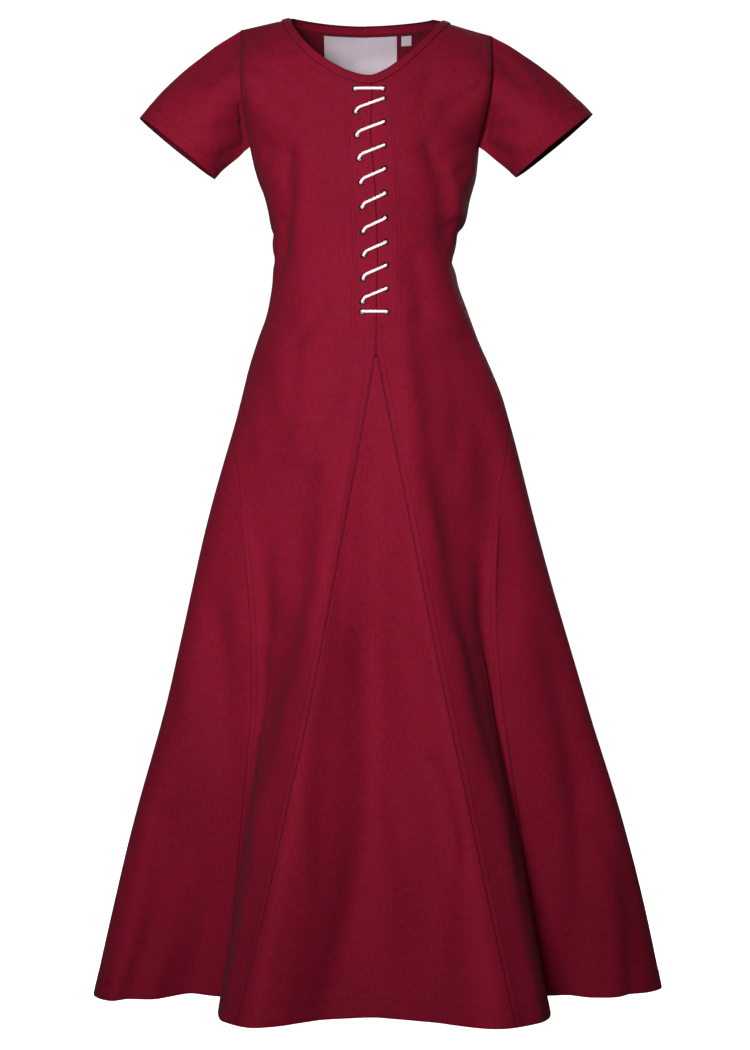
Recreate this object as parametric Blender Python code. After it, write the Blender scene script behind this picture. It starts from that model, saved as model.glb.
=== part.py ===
"""Short-sleeved cotehardie with a laced front, modelled hollow as it is worn.

Metres, +Z up. The front faces -Y, and left and right are as seen from the front, so left is -X.
The origin lies midway between the neck ends of the two shoulder seams.

Every panel is a wall on one worn form. Below the armpits the form is a stack of rings: an oval at
each height, plus the skirt's folds, which widen from where each fold starts down to the hem. Above
the armpits it closes over the shoulders in quarter ellipses. A place on a ring is given by its
cloth coordinate, the distance along the hem from the centre back to the fold line that reaches it.
"""

import math
from collections import namedtuple

import bmesh
import bpy
import numpy as np
from mathutils import Matrix, Vector

MM = 0.001

# Cloth
CLOTH_THICKNESS = 1.5 * MM
BAND_THICKNESS = 2.1 * MM
LABEL_THICKNESS = 1.0 * MM
SEAM_GAP = 0.3 * MM

# Heights
ARMPIT_HEIGHT = -187 * MM
SIDE_APEX_HEIGHT = -562 * MM
FRONT_APEX_HEIGHT = -505 * MM
HEM_HEIGHT = -1447 * MM

# The worn form's ovals, from the armpits to the hem: height, left and right edge as x, front and
# back as y, all in millimetres
Section = namedtuple("Section", "name height left right front back")
SECTIONS = [
    Section("armpit", -187, -173, 166, -128, 112),
    Section("bust", -230, -163, 162, -133, 112),
    Section("under bust", -266, -150, 153, -127, 107),
    Section("midriff", -300, -143, 146, -116, 101),
    Section("above waist", -326, -140, 134, -108, 97),
    Section("waist", -355, -138, 129, -104, 96),
    Section("below waist", -385, -139, 133, -105, 98),
    Section("belly", -430, -146, 148, -112, 104),
    Section("high hip", -474, -161, 164, -121, 114),
    Section("hip", -518, -175, 183, -129, 124),
    Section("side apex", -562, -186, 200, -134, 131),
    Section("thigh", -770, -243, 256, -142, 157),
    Section("knee", -1006, -296, 324, -150, 186),
    Section("calf", -1243, -361, 398, -158, 215),
    Section("hem", -1447, -408, 446, -165, 240),
]
OVAL_SQUARENESS = 2.15

# The oval's front half by height in millimetres: below the hips it falls away in straighter lines
FrontHalf = namedtuple("FrontHalf", "height squareness")
FRONT_HALF = [
    FrontHalf(-1447, 1.5),
    FrontHalf(-1006, 1.5),
    FrontHalf(-770, 1.65),
    FrontHalf(-660, 1.8),
    FrontHalf(-562, 2.0),
    FrontHalf(-505, 2.1),
    FrontHalf(-430, 2.15),
    FrontHalf(-187, 2.15),
]

# The skirt's fold lines round the hem, from the centre back by the left side and the front: angle
# on the hip oval in degrees (0 is front, -90 left), how far the line swings round the oval below
# the side gores' tops, the height where it leaves the oval, and its place on the hem in millimetres
FoldLine = namedtuple("FoldLine", "name angle swing start hem_x hem_y")
FOLD_LINES = [
    FoldLine("back centre trough", -180, 0, -520, 12, 238),
    FoldLine("back left slope", -173, 0, -520, -62, 262),
    FoldLine("back left crest", -165, 0, -520, -132, 292),
    FoldLine("back left ridge", -154, 0, -520, -186, 258),
    FoldLine("back left wall", -130, -15, -535, -203, 186),
    FoldLine("left gore back seam", -90.6, -43.4, -562, -236, 138),
    FoldLine("left gore back trough", -90.4, -35.6, -562, -296, 128),
    FoldLine("left rear crest", -90.2, -22.8, -562, -376, 104),
    FoldLine("left edge", -90, 0, -562, -408, 30),
    FoldLine("left front crest", -89.8, 16.8, -562, -378, -26),
    FoldLine("left gore trough", -89.6, 34.6, -562, -290, 10),
    FoldLine("left gore front seam", -89.4, 47.4, -562, -205, 6),
    FoldLine("left wall", -52, 22, -530, -214, -96),
    FoldLine("left ridge", -11, 0, -480, -202, -188),
    FoldLine("left crest", -6, 0, -470, -160, -240),
    FoldLine("left inner slope", -3, 0, -470, -92, -203),
    FoldLine("front trough", 3, 0, -470, 14, -160),
    FoldLine("right inner slope", 8, 0, -470, 96, -203),
    FoldLine("right crest", 12, 0, -470, 186, -248),
    FoldLine("right ridge", 17, 0, -480, 255, -176),
    FoldLine("right wall", 54, -23, -530, 264, -84),
    FoldLine("right gore front seam", 89.4, -48, -562, 254, 14),
    FoldLine("right gore trough", 89.6, -35.6, -562, 334, 2),
    FoldLine("right front crest", 89.8, -18.8, -562, 408, 34),
    FoldLine("right edge", 90, 0, -562, 446, 96),
    FoldLine("right rear crest", 90.2, 27, -562, 402, 152),
    FoldLine("right gore back trough", 90.4, 38.6, -562, 318, 140),
    FoldLine("right gore back seam", 90.6, 46.4, -562, 248, 152),
    FoldLine("back right wall", 130, 18, -535, 214, 204),
    FoldLine("back right ridge", 154, 0, -520, 202, 270),
    FoldLine("back right crest", 165, 0, -520, 148, 302),
    FoldLine("back right slope", 173, 0, -520, 80, 266),
]
FOLD_SOFTNESS = 0.10
SIDE_FOLD_POWER = 2.5
SWING_RATE = 7

# Shoulders and armholes
LEFT_TIP = Vector((-186.5, 0, -15)) * MM
RIGHT_TIP = Vector((185, 0, -24)) * MM
FRONT_ARMHOLE_DEPTH = 56 * MM
BACK_ARMHOLE_DEPTH = 52 * MM
ARMHOLE_SPREAD = 4
BACK_NECK_RISE = 40 * MM
FRONT_NECK_RISE = 15 * MM

# Neckline: the edge's lowest point, its ends at the shoulders, and the powers of its two halves
NeckHalf = namedtuple("NeckHalf", "end_x end_z width_power drop_power")
NECK_POINT_X = 3 * MM
NECK_POINT_Z = -102 * MM
LEFT_NECK = NeckHalf(-114 * MM, 0, 1.65, 1.42)
RIGHT_NECK = NeckHalf(112.5 * MM, -3 * MM, 1.55, 1.0)
BACK_NECK_Z = 1 * MM
BAND_WIDTH = 11 * MM
BAND_PROUD_SHARE = 0.7

# Centre front line: height and x in millimetres
CentreFront = namedtuple("CentreFront", "height x")
CENTRE_FRONT = [
    CentreFront(-90, 2.5),
    CentreFront(-175, 5),
    CentreFront(-265, 12),
    CentreFront(-360, 15.5),
    CentreFront(-440, 13.5),
    CentreFront(-505, 13.3),
]
SLIT_BOTTOM = -446 * MM
SLIT_GAP = 1.6 * MM
APEXES = (FRONT_APEX_HEIGHT, SIDE_APEX_HEIGHT, SLIT_BOTTOM)

# Front gore
GORE_APEX_WIDTH = 4 * MM
GORE_LEFT_HEM_X = -183 * MM
GORE_RIGHT_HEM_X = 208 * MM
GORE_LEFT_BOW = 11 * MM
GORE_RIGHT_BOW = -3 * MM

# Sleeves: the cuff's centre, the way from it to its top, its half width and half depth, and how
# far the sleeve's top rises over the straight line from the shoulder
Sleeve = namedtuple("Sleeve", "side cuff_centre cuff_up half_width half_depth rise")
SLEEVES = {
    "sleeve_left": Sleeve(-1, (-281, 0, -190), (-78, 0, 62.5), 71, 55, 10),
    "sleeve_right": Sleeve(1, (277, 2, -186), (77, 0, 63), 73.5, 56, 9),
}
SLEEVE_FULLNESS = 8 * MM

# Lace and eyelets
EYELET_COUNT = 11
EYELET_TOP = -121 * MM
EYELET_SPACING = 33.9 * MM
EYELET_END_SPACING = 14.5 * MM
EYELET_RADIUS = 3.1 * MM
LEFT_EYELET_INSET = 20 * MM
RIGHT_EYELET_TOP_X = 23.3 * MM
RIGHT_EYELET_BOTTOM_X = 28.2 * MM
LACE_RADIUS = 2.6 * MM
LACE_CLEARANCE = 0.9 * MM
LACE_INNER_CLEARANCE = 1.6 * MM
LACE_TAIL = 26 * MM
RungPoint = namedtuple("RungPoint", "along rise")
RUNG = [
    RungPoint(0.09, 0.33),
    RungPoint(0.36, 0.54),
    RungPoint(0.68, 0.72),
    RungPoint(0.92, 0.84),
]

# Label and size tab, inside the back neck
Patch = namedtuple("Patch", "left right top bottom")
LABEL = Patch(-65 * MM, 45 * MM, -12.5 * MM, -74 * MM)
SIZE_TAB = Patch(52 * MM, 67 * MM, -13 * MM, -26 * MM)
PATCH_GAP = 0.9 * MM

# Mesh density
RING_SAMPLES = 3000
TORSO_ROWS = 12
SKIRT_ROWS = 8
SHOULDER_ROWS = 7
SLEEVE_ROWS = 6
SLEEVE_COLUMNS = 24
FRONT_COUNTS = (3, 4, 6)
BACK_COUNTS = (6, 6, 6, 6)
APEX_STEP = 4 * MM
FOLD_BLEND_TOP = -400 * MM
FOLD_BLEND_FOOT = -750 * MM
EYELET_SIDES = 12
EYELET_CUT_DEPTH = 16 * MM
PATCH_STEP = 16 * MM

# Colours
WINE = (0.155, 0.008, 0.018, 1)
WHITE_CORD = (0.86, 0.80, 0.80, 1)
LABEL_WHITE = (0.62, 0.56, 0.58, 1)


def clear_scene():
    """Removes every object that is in the file."""
    for item in list(bpy.data.objects):
        bpy.data.objects.remove(item, do_unlink=True)


def knot_slopes(knots, values, overshoots):
    """The slope at each knot of a smooth curve. Without overshoots, no part leaves its knots' span."""
    steps = np.diff(knots)
    grades = np.diff(values) / steps
    slopes = np.empty(len(knots))
    slopes[0] = grades[0]
    slopes[-1] = grades[-1]
    before, after = grades[:-1], grades[1:]
    inner = (steps[1:] * before + steps[:-1] * after) / (steps[1:] + steps[:-1])
    if not overshoots:
        same_way = before * after > 0
        safe = np.where(same_way, before + after, 1)
        inner = np.where(same_way, 2 * before * after / safe, 0)
    slopes[1:-1] = inner
    return slopes


def smooth_curve(knots, values, overshoots=False):
    """A function that passes smoothly through the knots."""
    knots = np.asarray(knots, float)
    values = np.asarray(values, float)
    slopes = knot_slopes(knots, values, overshoots)

    def value_at(where):
        where = np.clip(where, knots[0], knots[-1])
        index = np.clip(np.searchsorted(knots, where) - 1, 0, len(knots) - 2)
        step = knots[index + 1] - knots[index]
        part = (where - knots[index]) / step
        rest = 1 - part
        near = values[index] * (1 + 2 * part) + slopes[index] * step * part
        far = values[index + 1] * (1 + 2 * rest) - slopes[index + 1] * step * rest
        return near * rest**2 + far * part**2

    return value_at


def section_curves():
    """The left, right, front and back of the oval as functions of height."""
    rows = sorted(SECTIONS, key=lambda row: row.height)
    heights = [row.height * MM for row in rows]
    columns = {}
    for name in ("left", "right", "front", "back"):
        columns[name] = smooth_curve(heights, [getattr(row, name) * MM for row in rows])
    return columns


def hem_curves():
    """The fold lines as functions of the cloth coordinate, and that coordinate's whole length."""
    around = FOLD_LINES + FOLD_LINES[:1]
    gaps = [
        math.hypot(after.hem_x - before.hem_x, after.hem_y - before.hem_y) * MM
        for before, after in zip(around, around[1:])
    ]
    places = np.concatenate([[0], np.cumsum(gaps)])
    length = places[-1]
    wrapped = FOLD_LINES[-2:] + around + FOLD_LINES[1:3]
    turns = [-360, -360] + [0] * len(FOLD_LINES) + [360] * 3
    knots = np.concatenate([places[-3:-1] - length, places, places[1:3] + length])
    angles = [line.angle + turn for line, turn in zip(wrapped, turns)]
    return {
        "angle": smooth_curve(knots, np.radians(angles)),
        "swing": smooth_curve(knots, [math.radians(line.swing) for line in wrapped]),
        "start": smooth_curve(knots, [line.start * MM for line in wrapped]),
        "side": smooth_curve(knots, [line.start * MM == SIDE_APEX_HEIGHT for line in wrapped]),
        "x": smooth_curve(knots, [line.hem_x * MM for line in wrapped], overshoots=True),
        "y": smooth_curve(knots, [line.hem_y * MM for line in wrapped], overshoots=True),
        "place": {line.name: place for line, place in zip(FOLD_LINES, places)},
        "length": length,
    }


OVAL = section_curves()
HEM = hem_curves()
FRONT_SQUARENESS = smooth_curve(
    [row.height * MM for row in FRONT_HALF], [row.squareness for row in FRONT_HALF]
)
CENTRE_FRONT_X = smooth_curve(
    [row.height * MM for row in reversed(CENTRE_FRONT)],
    [row.x * MM for row in reversed(CENTRE_FRONT)],
)


def signed_power(value, power):
    """The value raised to a power, with its sign kept."""
    return np.sign(value) * np.abs(value) ** power


def oval_point(angle, height):
    """A point of the plain oval at this height, as x and y."""
    centre = (OVAL["left"](height) + OVAL["right"](height)) / 2
    half = (OVAL["right"](height) - OVAL["left"](height)) / 2
    power = 2 / np.where(np.cos(angle) > 0, FRONT_SQUARENESS(height), OVAL_SQUARENESS)
    toward_front = signed_power(np.cos(angle), power)
    depth = np.where(toward_front > 0, OVAL["front"](height), -OVAL["back"](height))
    return centre + half * signed_power(np.sin(angle), power), depth * toward_front


def swung_point(cloth, height):
    """The oval's point for a cloth coordinate, once its fold line has swung round the oval."""
    drop = np.clip((SIDE_APEX_HEIGHT - height) / (SIDE_APEX_HEIGHT - HEM_HEIGHT), 0, None)
    swung = 1 - np.exp(-SWING_RATE * drop)
    return oval_point(HEM["angle"](cloth) + swung * HEM["swing"](cloth), height)


def ring_point(cloth, height):
    """The form's point below the armpits, for a cloth coordinate and a height."""
    cloth = np.mod(cloth, HEM["length"])
    x, y = swung_point(cloth, height)
    hem_x, hem_y = swung_point(cloth, HEM_HEIGHT)
    start = HEM["start"](cloth)
    drop = np.clip((start - height) / (start - HEM_HEIGHT), 0, None)
    full = math.hypot(1, FOLD_SOFTNESS) - FOLD_SOFTNESS
    share = (np.hypot(drop, FOLD_SOFTNESS) - FOLD_SOFTNESS) / full
    share = share + HEM["side"](cloth) * (drop**SIDE_FOLD_POWER - share)
    x = x + share * (HEM["x"](cloth) - hem_x)
    y = y + share * (HEM["y"](cloth) - hem_y)
    return np.stack([x, y, np.broadcast_to(height, np.shape(x))], axis=-1)


def shoulder_tip(angle):
    """The shoulder seam's outer end on this angle's side."""
    return np.where(np.sin(angle) < 0, LEFT_TIP.x, RIGHT_TIP.x), np.where(
        np.sin(angle) < 0, LEFT_TIP.z, RIGHT_TIP.z
    )


def shoulder_line(angle):
    """Where a rib of the upper form meets the shoulder, as x and height."""
    tip_x, tip_z = shoulder_tip(angle)
    left = np.sin(angle) < 0
    neck_x = np.where(left, LEFT_NECK.end_x, RIGHT_NECK.end_x)
    neck_z = np.where(left, LEFT_NECK.end_z, RIGHT_NECK.end_z)
    x = tip_x * np.abs(np.sin(angle))
    along = (x - neck_x) / (tip_x - neck_x)
    inside = np.clip(1 - (x / neck_x) ** 2, 0, 1)
    rise = np.where(np.cos(angle) > 0, FRONT_NECK_RISE, BACK_NECK_RISE)
    return x, neck_z + (tip_z - neck_z) * np.clip(along, 0, None) + rise * inside**2


def upper_point(angle, lift, side=None):
    """The form's point above the armpits. Lift runs from 0 at the armpit to pi/2 at the shoulder.

    Side is -1 on the front and 1 on the back, and is needed where the angle lies between the two.
    """
    base_x, base_y = oval_point(angle, ARMPIT_HEIGHT)
    top_x, top_z = shoulder_line(angle)
    rise = np.sin(lift)
    outward = 1 - (1 - np.clip(rise, 0, 1)) ** 2.5
    x = base_x + (top_x - base_x) * outward
    z = ARMPIT_HEIGHT + (top_z - ARMPIT_HEIGHT) * rise
    if side is None:
        side = np.where(np.cos(angle) > 0, -1, 1)
    depth = np.where(side < 0, FRONT_ARMHOLE_DEPTH, BACK_ARMHOLE_DEPTH)
    swell = np.clip(np.sin(math.pi * rise), 0, 1) ** 1.5
    y = base_y * np.cos(lift) + side * depth * np.abs(np.sin(angle)) ** ARMHOLE_SPREAD * swell
    return np.stack(np.broadcast_arrays(x, y, z), axis=-1)


def unit(vectors):
    """The vectors scaled to length one."""
    return vectors / np.linalg.norm(vectors, axis=-1, keepdims=True)


def upper_normal(angle, lift, side):
    """The outward normal of the upper form."""
    step = 0.01
    across = upper_point(angle + step, lift, side) - upper_point(angle - step, lift, side)
    upward = upper_point(angle, lift + step, side) - upper_point(angle, lift - step, side)
    return unit(np.cross(across, upward))


class Ring:
    """One level ring of the form, measured along the cloth."""

    def __init__(self, height):
        self.height = height
        margin = 0.25 * HEM["length"]
        self.cloth = np.linspace(-margin, HEM["length"] + margin, RING_SAMPLES)
        self.points = ring_point(self.cloth, height)
        steps = np.linalg.norm(np.diff(self.points, axis=0), axis=1)
        self.arc = np.concatenate([[0], np.cumsum(steps)])

    def arc_at(self, cloth):
        """The distance along the ring of a cloth coordinate."""
        return np.interp(cloth, self.cloth, self.arc)

    def cloth_at(self, arc):
        """The cloth coordinate at a distance along the ring."""
        return np.interp(arc, self.arc, self.cloth)

    def cloth_at_x(self, x, first, last):
        """The cloth coordinate where the ring crosses x, between two cloth coordinates."""
        inside = (self.cloth >= first) & (self.cloth <= last)
        return float(np.interp(x, self.points[inside, 0], self.cloth[inside]))

    def normal_at(self, arc):
        """The form's outward normal at a distance along the ring."""
        reach = 1.5 * MM
        ahead = np.stack([np.interp(arc + reach, self.arc, self.points[:, i]) for i in range(3)], -1)
        behind = np.stack([np.interp(arc - reach, self.arc, self.points[:, i]) for i in range(3)], -1)
        cloth = self.cloth_at(arc)
        above = min(self.height + 4 * MM, ARMPIT_HEIGHT)
        below = max(self.height - 4 * MM, HEM_HEIGHT)
        upward = ring_point(cloth, above) - ring_point(cloth, below)
        return unit(np.cross(ahead - behind, upward))


def cloth_of_angle(degrees):
    """The cloth coordinate whose rib stands at this angle on the hip oval."""
    cloth = np.linspace(0, HEM["length"], 20001)
    return float(np.interp(math.radians(degrees), HEM["angle"](cloth), cloth))


def corner_angle(half, back):
    """The angle in degrees of the rib that ends at the outer edge of the band at the shoulder."""
    sign = -1 if half.end_x < 0 else 1
    tip = LEFT_TIP if sign < 0 else RIGHT_TIP
    reach = abs(half.end_x) + BAND_WIDTH + SEAM_GAP
    angle = sign * math.degrees(math.asin(reach / abs(tip.x)))
    return sign * 180 - angle if back else angle


def neck_drop(x, half, grown, back):
    """The height of the neckline at x. Grown is how far outside the band's inner edge the line is."""
    width = abs(half.end_x - NECK_POINT_X) + grown
    part = np.clip(np.abs(x - NECK_POINT_X) / width, 0, 1)
    end_z = half.end_z - 0.2 * grown
    if back:
        low = BACK_NECK_Z - grown
        return end_z + (low - end_z) * (1 - part**4) ** 0.5
    low = NECK_POINT_Z - 1.1 * grown
    return end_z + (low - end_z) * (1 - part**half.width_power) ** (1 / half.drop_power)


def neck_lift(angle, half, grown, back):
    """The lift where a rib of the upper form meets the neckline, pi/2 outside the neck."""
    lifts = np.linspace(0, math.pi / 2, 400)
    points = upper_point(np.full(400, angle), lifts, 1 if back else -1)
    above = points[:, 2] - neck_drop(points[:, 0], half, grown, back)
    outside = abs(points[-1, 0]) >= abs(half.end_x) + grown - 1e-6
    crossings = np.nonzero(above > 0)[0]
    if outside or len(crossings) == 0:
        return math.pi / 2
    index = crossings[0]
    part = -above[index - 1] / (above[index] - above[index - 1])
    return float(lifts[index - 1] + part * (lifts[index] - lifts[index - 1]))


def form_at(x, height, back=False):
    """The form's point and outward normal at x and a height, on the front or the upper back."""
    if height <= ARMPIT_HEIGHT:
        ring = Ring(height)
        cloth = ring.cloth_at_x(x, HEM["place"]["left wall"], HEM["place"]["right wall"])
        return Vector(ring_point(cloth, height)), Vector(ring.normal_at(ring.arc_at(cloth)))
    angles = np.linspace(-math.pi / 2, math.pi / 2, 1201)
    if back:
        angles = math.pi - angles
    _, top_z = shoulder_line(angles)
    rise = np.clip((height - ARMPIT_HEIGHT) / (top_z - ARMPIT_HEIGHT), 0, 1)
    lifts = np.arcsin(rise)
    side = 1 if back else -1
    points = upper_point(angles, lifts, side)
    angle = float(np.interp(x, points[:, 0], angles))
    lift = float(np.interp(x, points[:, 0], lifts))
    return Vector(upper_point(angle, lift, side)), Vector(upper_normal(angle, lift, side))


def wall(name, points, normals, thickness, material, closed=False):
    """One cloth piece: a grid laid on the points, thickened inward along the normals."""
    rows, columns = points.shape[:2]
    mesh = bmesh.new()
    bmesh.ops.create_grid(mesh, x_segments=columns - 1, y_segments=rows - 1, size=1)
    place = mesh.verts.layers.int.new("place")
    mesh.verts.ensure_lookup_table()
    for vertex, point in zip(mesh.verts, points.reshape(-1, 3)):
        vertex[place] = vertex.index
        vertex.co = point
    if closed:
        bmesh.ops.remove_doubles(mesh, verts=mesh.verts, dist=0.00001)
    inner = bmesh.ops.extrude_face_region(mesh, geom=mesh.faces[:])
    flat = normals.reshape(-1, 3)
    for item in inner["geom"]:
        if isinstance(item, bmesh.types.BMVert):
            item.co -= Vector(flat[item[place]]) * thickness
    bmesh.ops.recalc_face_normals(mesh, faces=mesh.faces)
    bmesh.ops.triangulate(mesh, faces=mesh.faces)
    data = bpy.data.meshes.new(name)
    mesh.to_mesh(data)
    mesh.free()
    data.shade_smooth()
    data.set_sharp_from_angle(angle=math.radians(50))
    data.materials.append(material)
    piece = bpy.data.objects.new(name, data)
    bpy.context.scene.collection.objects.link(piece)
    return piece


def plain_material(name, colour, roughness):
    """A Principled material with one colour."""
    material = bpy.data.materials.new(name)
    material.use_nodes = True
    shader = material.node_tree.nodes["Principled BSDF"]
    shader.inputs["Base Color"].default_value = colour
    shader.inputs["Roughness"].default_value = roughness
    return material


def row_heights(top, bottom, count):
    """Evenly spaced heights, both ends included."""
    return np.linspace(top, bottom, count + 1)


def blend(height, upper, lower, first, second):
    """The first value above the upper height, the second below the lower one, eased between."""
    part = min(max((upper - height) / (upper - lower), 0), 1)
    return first + (second - first) * part * part * (3 - 2 * part)


def gore_seam(ring, hem_x, bow, apex_side):
    """The cloth coordinate of one side seam of the front gore at a ring."""
    part = (FRONT_APEX_HEIGHT - ring.height) / (FRONT_APEX_HEIGHT - HEM_HEIGHT)
    apex_x = CENTRE_FRONT[-1].x * MM + apex_side * GORE_APEX_WIDTH / 2
    x = apex_x + (hem_x - apex_x) * part + bow * 4 * part * (1 - part)
    return ring.cloth_at_x(x, HEM["place"]["left ridge"], HEM["place"]["right ridge"])


def centre_seam(ring):
    """The cloth coordinate of the centre front line at a ring."""
    x = CENTRE_FRONT_X(ring.height)
    return ring.cloth_at_x(x, cloth_of_angle(-40), cloth_of_angle(40))


def ring_row(ring, lines, counts, trims):
    """Points and normals along a ring, with the given counts of columns between the lines."""
    arcs = [float(ring.arc_at(line)) for line in lines]
    arcs[0] += trims[0]
    arcs[-1] -= trims[1]
    places = [np.linspace(a, b, count + 1)[:-1] for a, b, count in zip(arcs, arcs[1:], counts)]
    places = np.concatenate(places + [[arcs[-1]]])
    cloth = ring.cloth_at(places)
    return ring_point(cloth, ring.height), ring.normal_at(places), cloth


def upper_rows(angles, side, grown):
    """Rows of the upper form above a ring row, up to the shoulder or the neckline."""
    halves = [LEFT_NECK if math.sin(angle) < 0 else RIGHT_NECK for angle in angles]
    tops = [neck_lift(angle, half, grown, side > 0) for angle, half in zip(angles, halves)]
    points, normals = [], []
    for index in range(1, SHOULDER_ROWS + 1):
        lifts = np.array(tops) * index / SHOULDER_ROWS
        points.append(upper_point(angles, lifts, side))
        normals.append(upper_normal(angles, lifts, side))
    return points, normals


def body_heights(apexes):
    """The heights of a body panel's rings, from the hem up, with two close together at each apex."""
    heights = set(row_heights(ARMPIT_HEIGHT, SIDE_APEX_HEIGHT, TORSO_ROWS))
    heights |= set(row_heights(SIDE_APEX_HEIGHT, HEM_HEIGHT, SKIRT_ROWS))
    for apex in apexes:
        heights |= {apex, apex + APEX_STEP}
    return sorted(heights)


def body_panel(name, lines_at, counts, side, material):
    """A panel from the hem over the shoulder. Lines_at gives the lines and edge trims at a ring."""
    points, normals = [], []
    for height in body_heights(APEXES):
        ring = Ring(height)
        lines, trims = lines_at(ring)
        row, normal, cloth = ring_row(ring, lines, counts, trims)
        points.append(row)
        normals.append(normal)
    angles = HEM["angle"](np.mod(cloth, HEM["length"]))
    above, above_normals = upper_rows(angles, side, BAND_WIDTH + SEAM_GAP)
    points = np.array(points + above)
    normals = np.array(normals + above_normals)
    return wall(name, points, normals, CLOTH_THICKNESS, material), points[-1]


def front_panel(side, material):
    """A front panel on one side of the centre front, and its top row of points."""
    half = LEFT_NECK if side < 0 else RIGHT_NECK
    word = "left" if side < 0 else "right"
    corner = cloth_of_angle(corner_angle(half, back=False))
    beside_slit = cloth_of_angle(side * 20)
    hem_x = GORE_LEFT_HEM_X if side < 0 else GORE_RIGHT_HEM_X
    bow = GORE_LEFT_BOW if side < 0 else GORE_RIGHT_BOW

    def lines_at(ring):
        above_gore = ring.height > FRONT_APEX_HEIGHT + 0.1 * MM
        centre = centre_seam(ring) if above_gore else gore_seam(ring, hem_x, bow, side)
        open_slit = ring.height > SLIT_BOTTOM
        above_side = ring.height > SIDE_APEX_HEIGHT + 0.1 * MM
        outer = HEM["place"][word + (" edge" if above_side else " gore front seam")]
        ridge = HEM["place"][word + " ridge"]
        recess = HEM["place"][word + " wall"]
        lines = [
            centre,
            blend(ring.height, FOLD_BLEND_TOP, FOLD_BLEND_FOOT, beside_slit, ridge),
            blend(ring.height, FOLD_BLEND_TOP, FOLD_BLEND_FOOT, corner, recess),
            outer,
        ]
        trims = [(SLIT_GAP if open_slit else SEAM_GAP) / 2, SEAM_GAP / 2]
        return lines[::side], trims[::side]

    name = "front_" + word
    counts = FRONT_COUNTS[::side]
    return body_panel(name, lines_at, counts, -1, material)


def back_panel(material):
    """The back, in one piece, and its top row of points."""
    length = HEM["length"]
    left_corner = cloth_of_angle(corner_angle(LEFT_NECK, back=True))
    right_corner = cloth_of_angle(corner_angle(RIGHT_NECK, back=True)) - length

    def lines_at(ring):
        above_side = ring.height > SIDE_APEX_HEIGHT + 0.1 * MM
        seam = " edge" if above_side else " gore back seam"
        left_fold = HEM["place"]["back left ridge"]
        right_fold = HEM["place"]["back right ridge"] - length
        lines = [
            HEM["place"]["right" + seam] - length,
            blend(ring.height, FOLD_BLEND_TOP, FOLD_BLEND_FOOT, right_corner, right_fold),
            0,
            blend(ring.height, FOLD_BLEND_TOP, FOLD_BLEND_FOOT, left_corner, left_fold),
            HEM["place"]["left" + seam],
        ]
        return lines, [SEAM_GAP / 2, SEAM_GAP / 2]

    return body_panel("back", lines_at, BACK_COUNTS, 1, material)


def gore(name, top, lines_at, counts, material):
    """A triangle of cloth from its apex to the hem, with its rings at the body panels' heights."""
    points, normals = [], []
    for height in body_heights(APEXES):
        if height > top + 0.1 * MM:
            break
        ring = Ring(height)
        row, normal, _ = ring_row(ring, lines_at(ring), counts, [SEAM_GAP / 2, SEAM_GAP / 2])
        points.append(row)
        normals.append(normal)
    return wall(name, np.array(points), np.array(normals), CLOTH_THICKNESS, material)


def front_gore(material):
    """The gore in the centre front seam."""

    def lines_at(ring):
        left = gore_seam(ring, GORE_LEFT_HEM_X, GORE_LEFT_BOW, -1)
        right = gore_seam(ring, GORE_RIGHT_HEM_X, GORE_RIGHT_BOW, 1)
        return [left, (left + right) / 2, right]

    return gore("front_gore", FRONT_APEX_HEIGHT, lines_at, (8, 8), material)


def side_gore(word, material):
    """The gore in one side seam."""
    names = [" gore back seam", " rear crest", " front crest", " gore front seam"]
    lines = sorted(HEM["place"][word + name] for name in names)
    return gore("side_gore_" + word, SIDE_APEX_HEIGHT, lambda ring: lines, (4, 5, 4), material)


def armhole(side):
    """Points and form normals round an armhole, from the shoulder down the front and up the back."""
    angle = side * math.pi / 2
    points, normals = [], []
    for half in (-1, 1):
        fine = np.linspace(math.pi / 2, 0, 400)
        curve = upper_point(np.full(400, angle), fine, half)
        arc = np.concatenate([[0], np.cumsum(np.linalg.norm(np.diff(curve, axis=0), axis=1))])
        lifts = np.interp(np.linspace(0, arc[-1], SLEEVE_COLUMNS // 2 + 1), arc, fine)
        row = upper_point(np.full(len(lifts), angle), lifts, half)
        normal = upper_normal(np.full(len(lifts), angle - side * 0.02), lifts, half)
        if half > 0:
            row, normal = row[::-1], normal[::-1]
            row, normal = row[1:], normal[1:]
        points.append(row)
        normals.append(normal)
    return np.concatenate(points), np.concatenate(normals)


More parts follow.
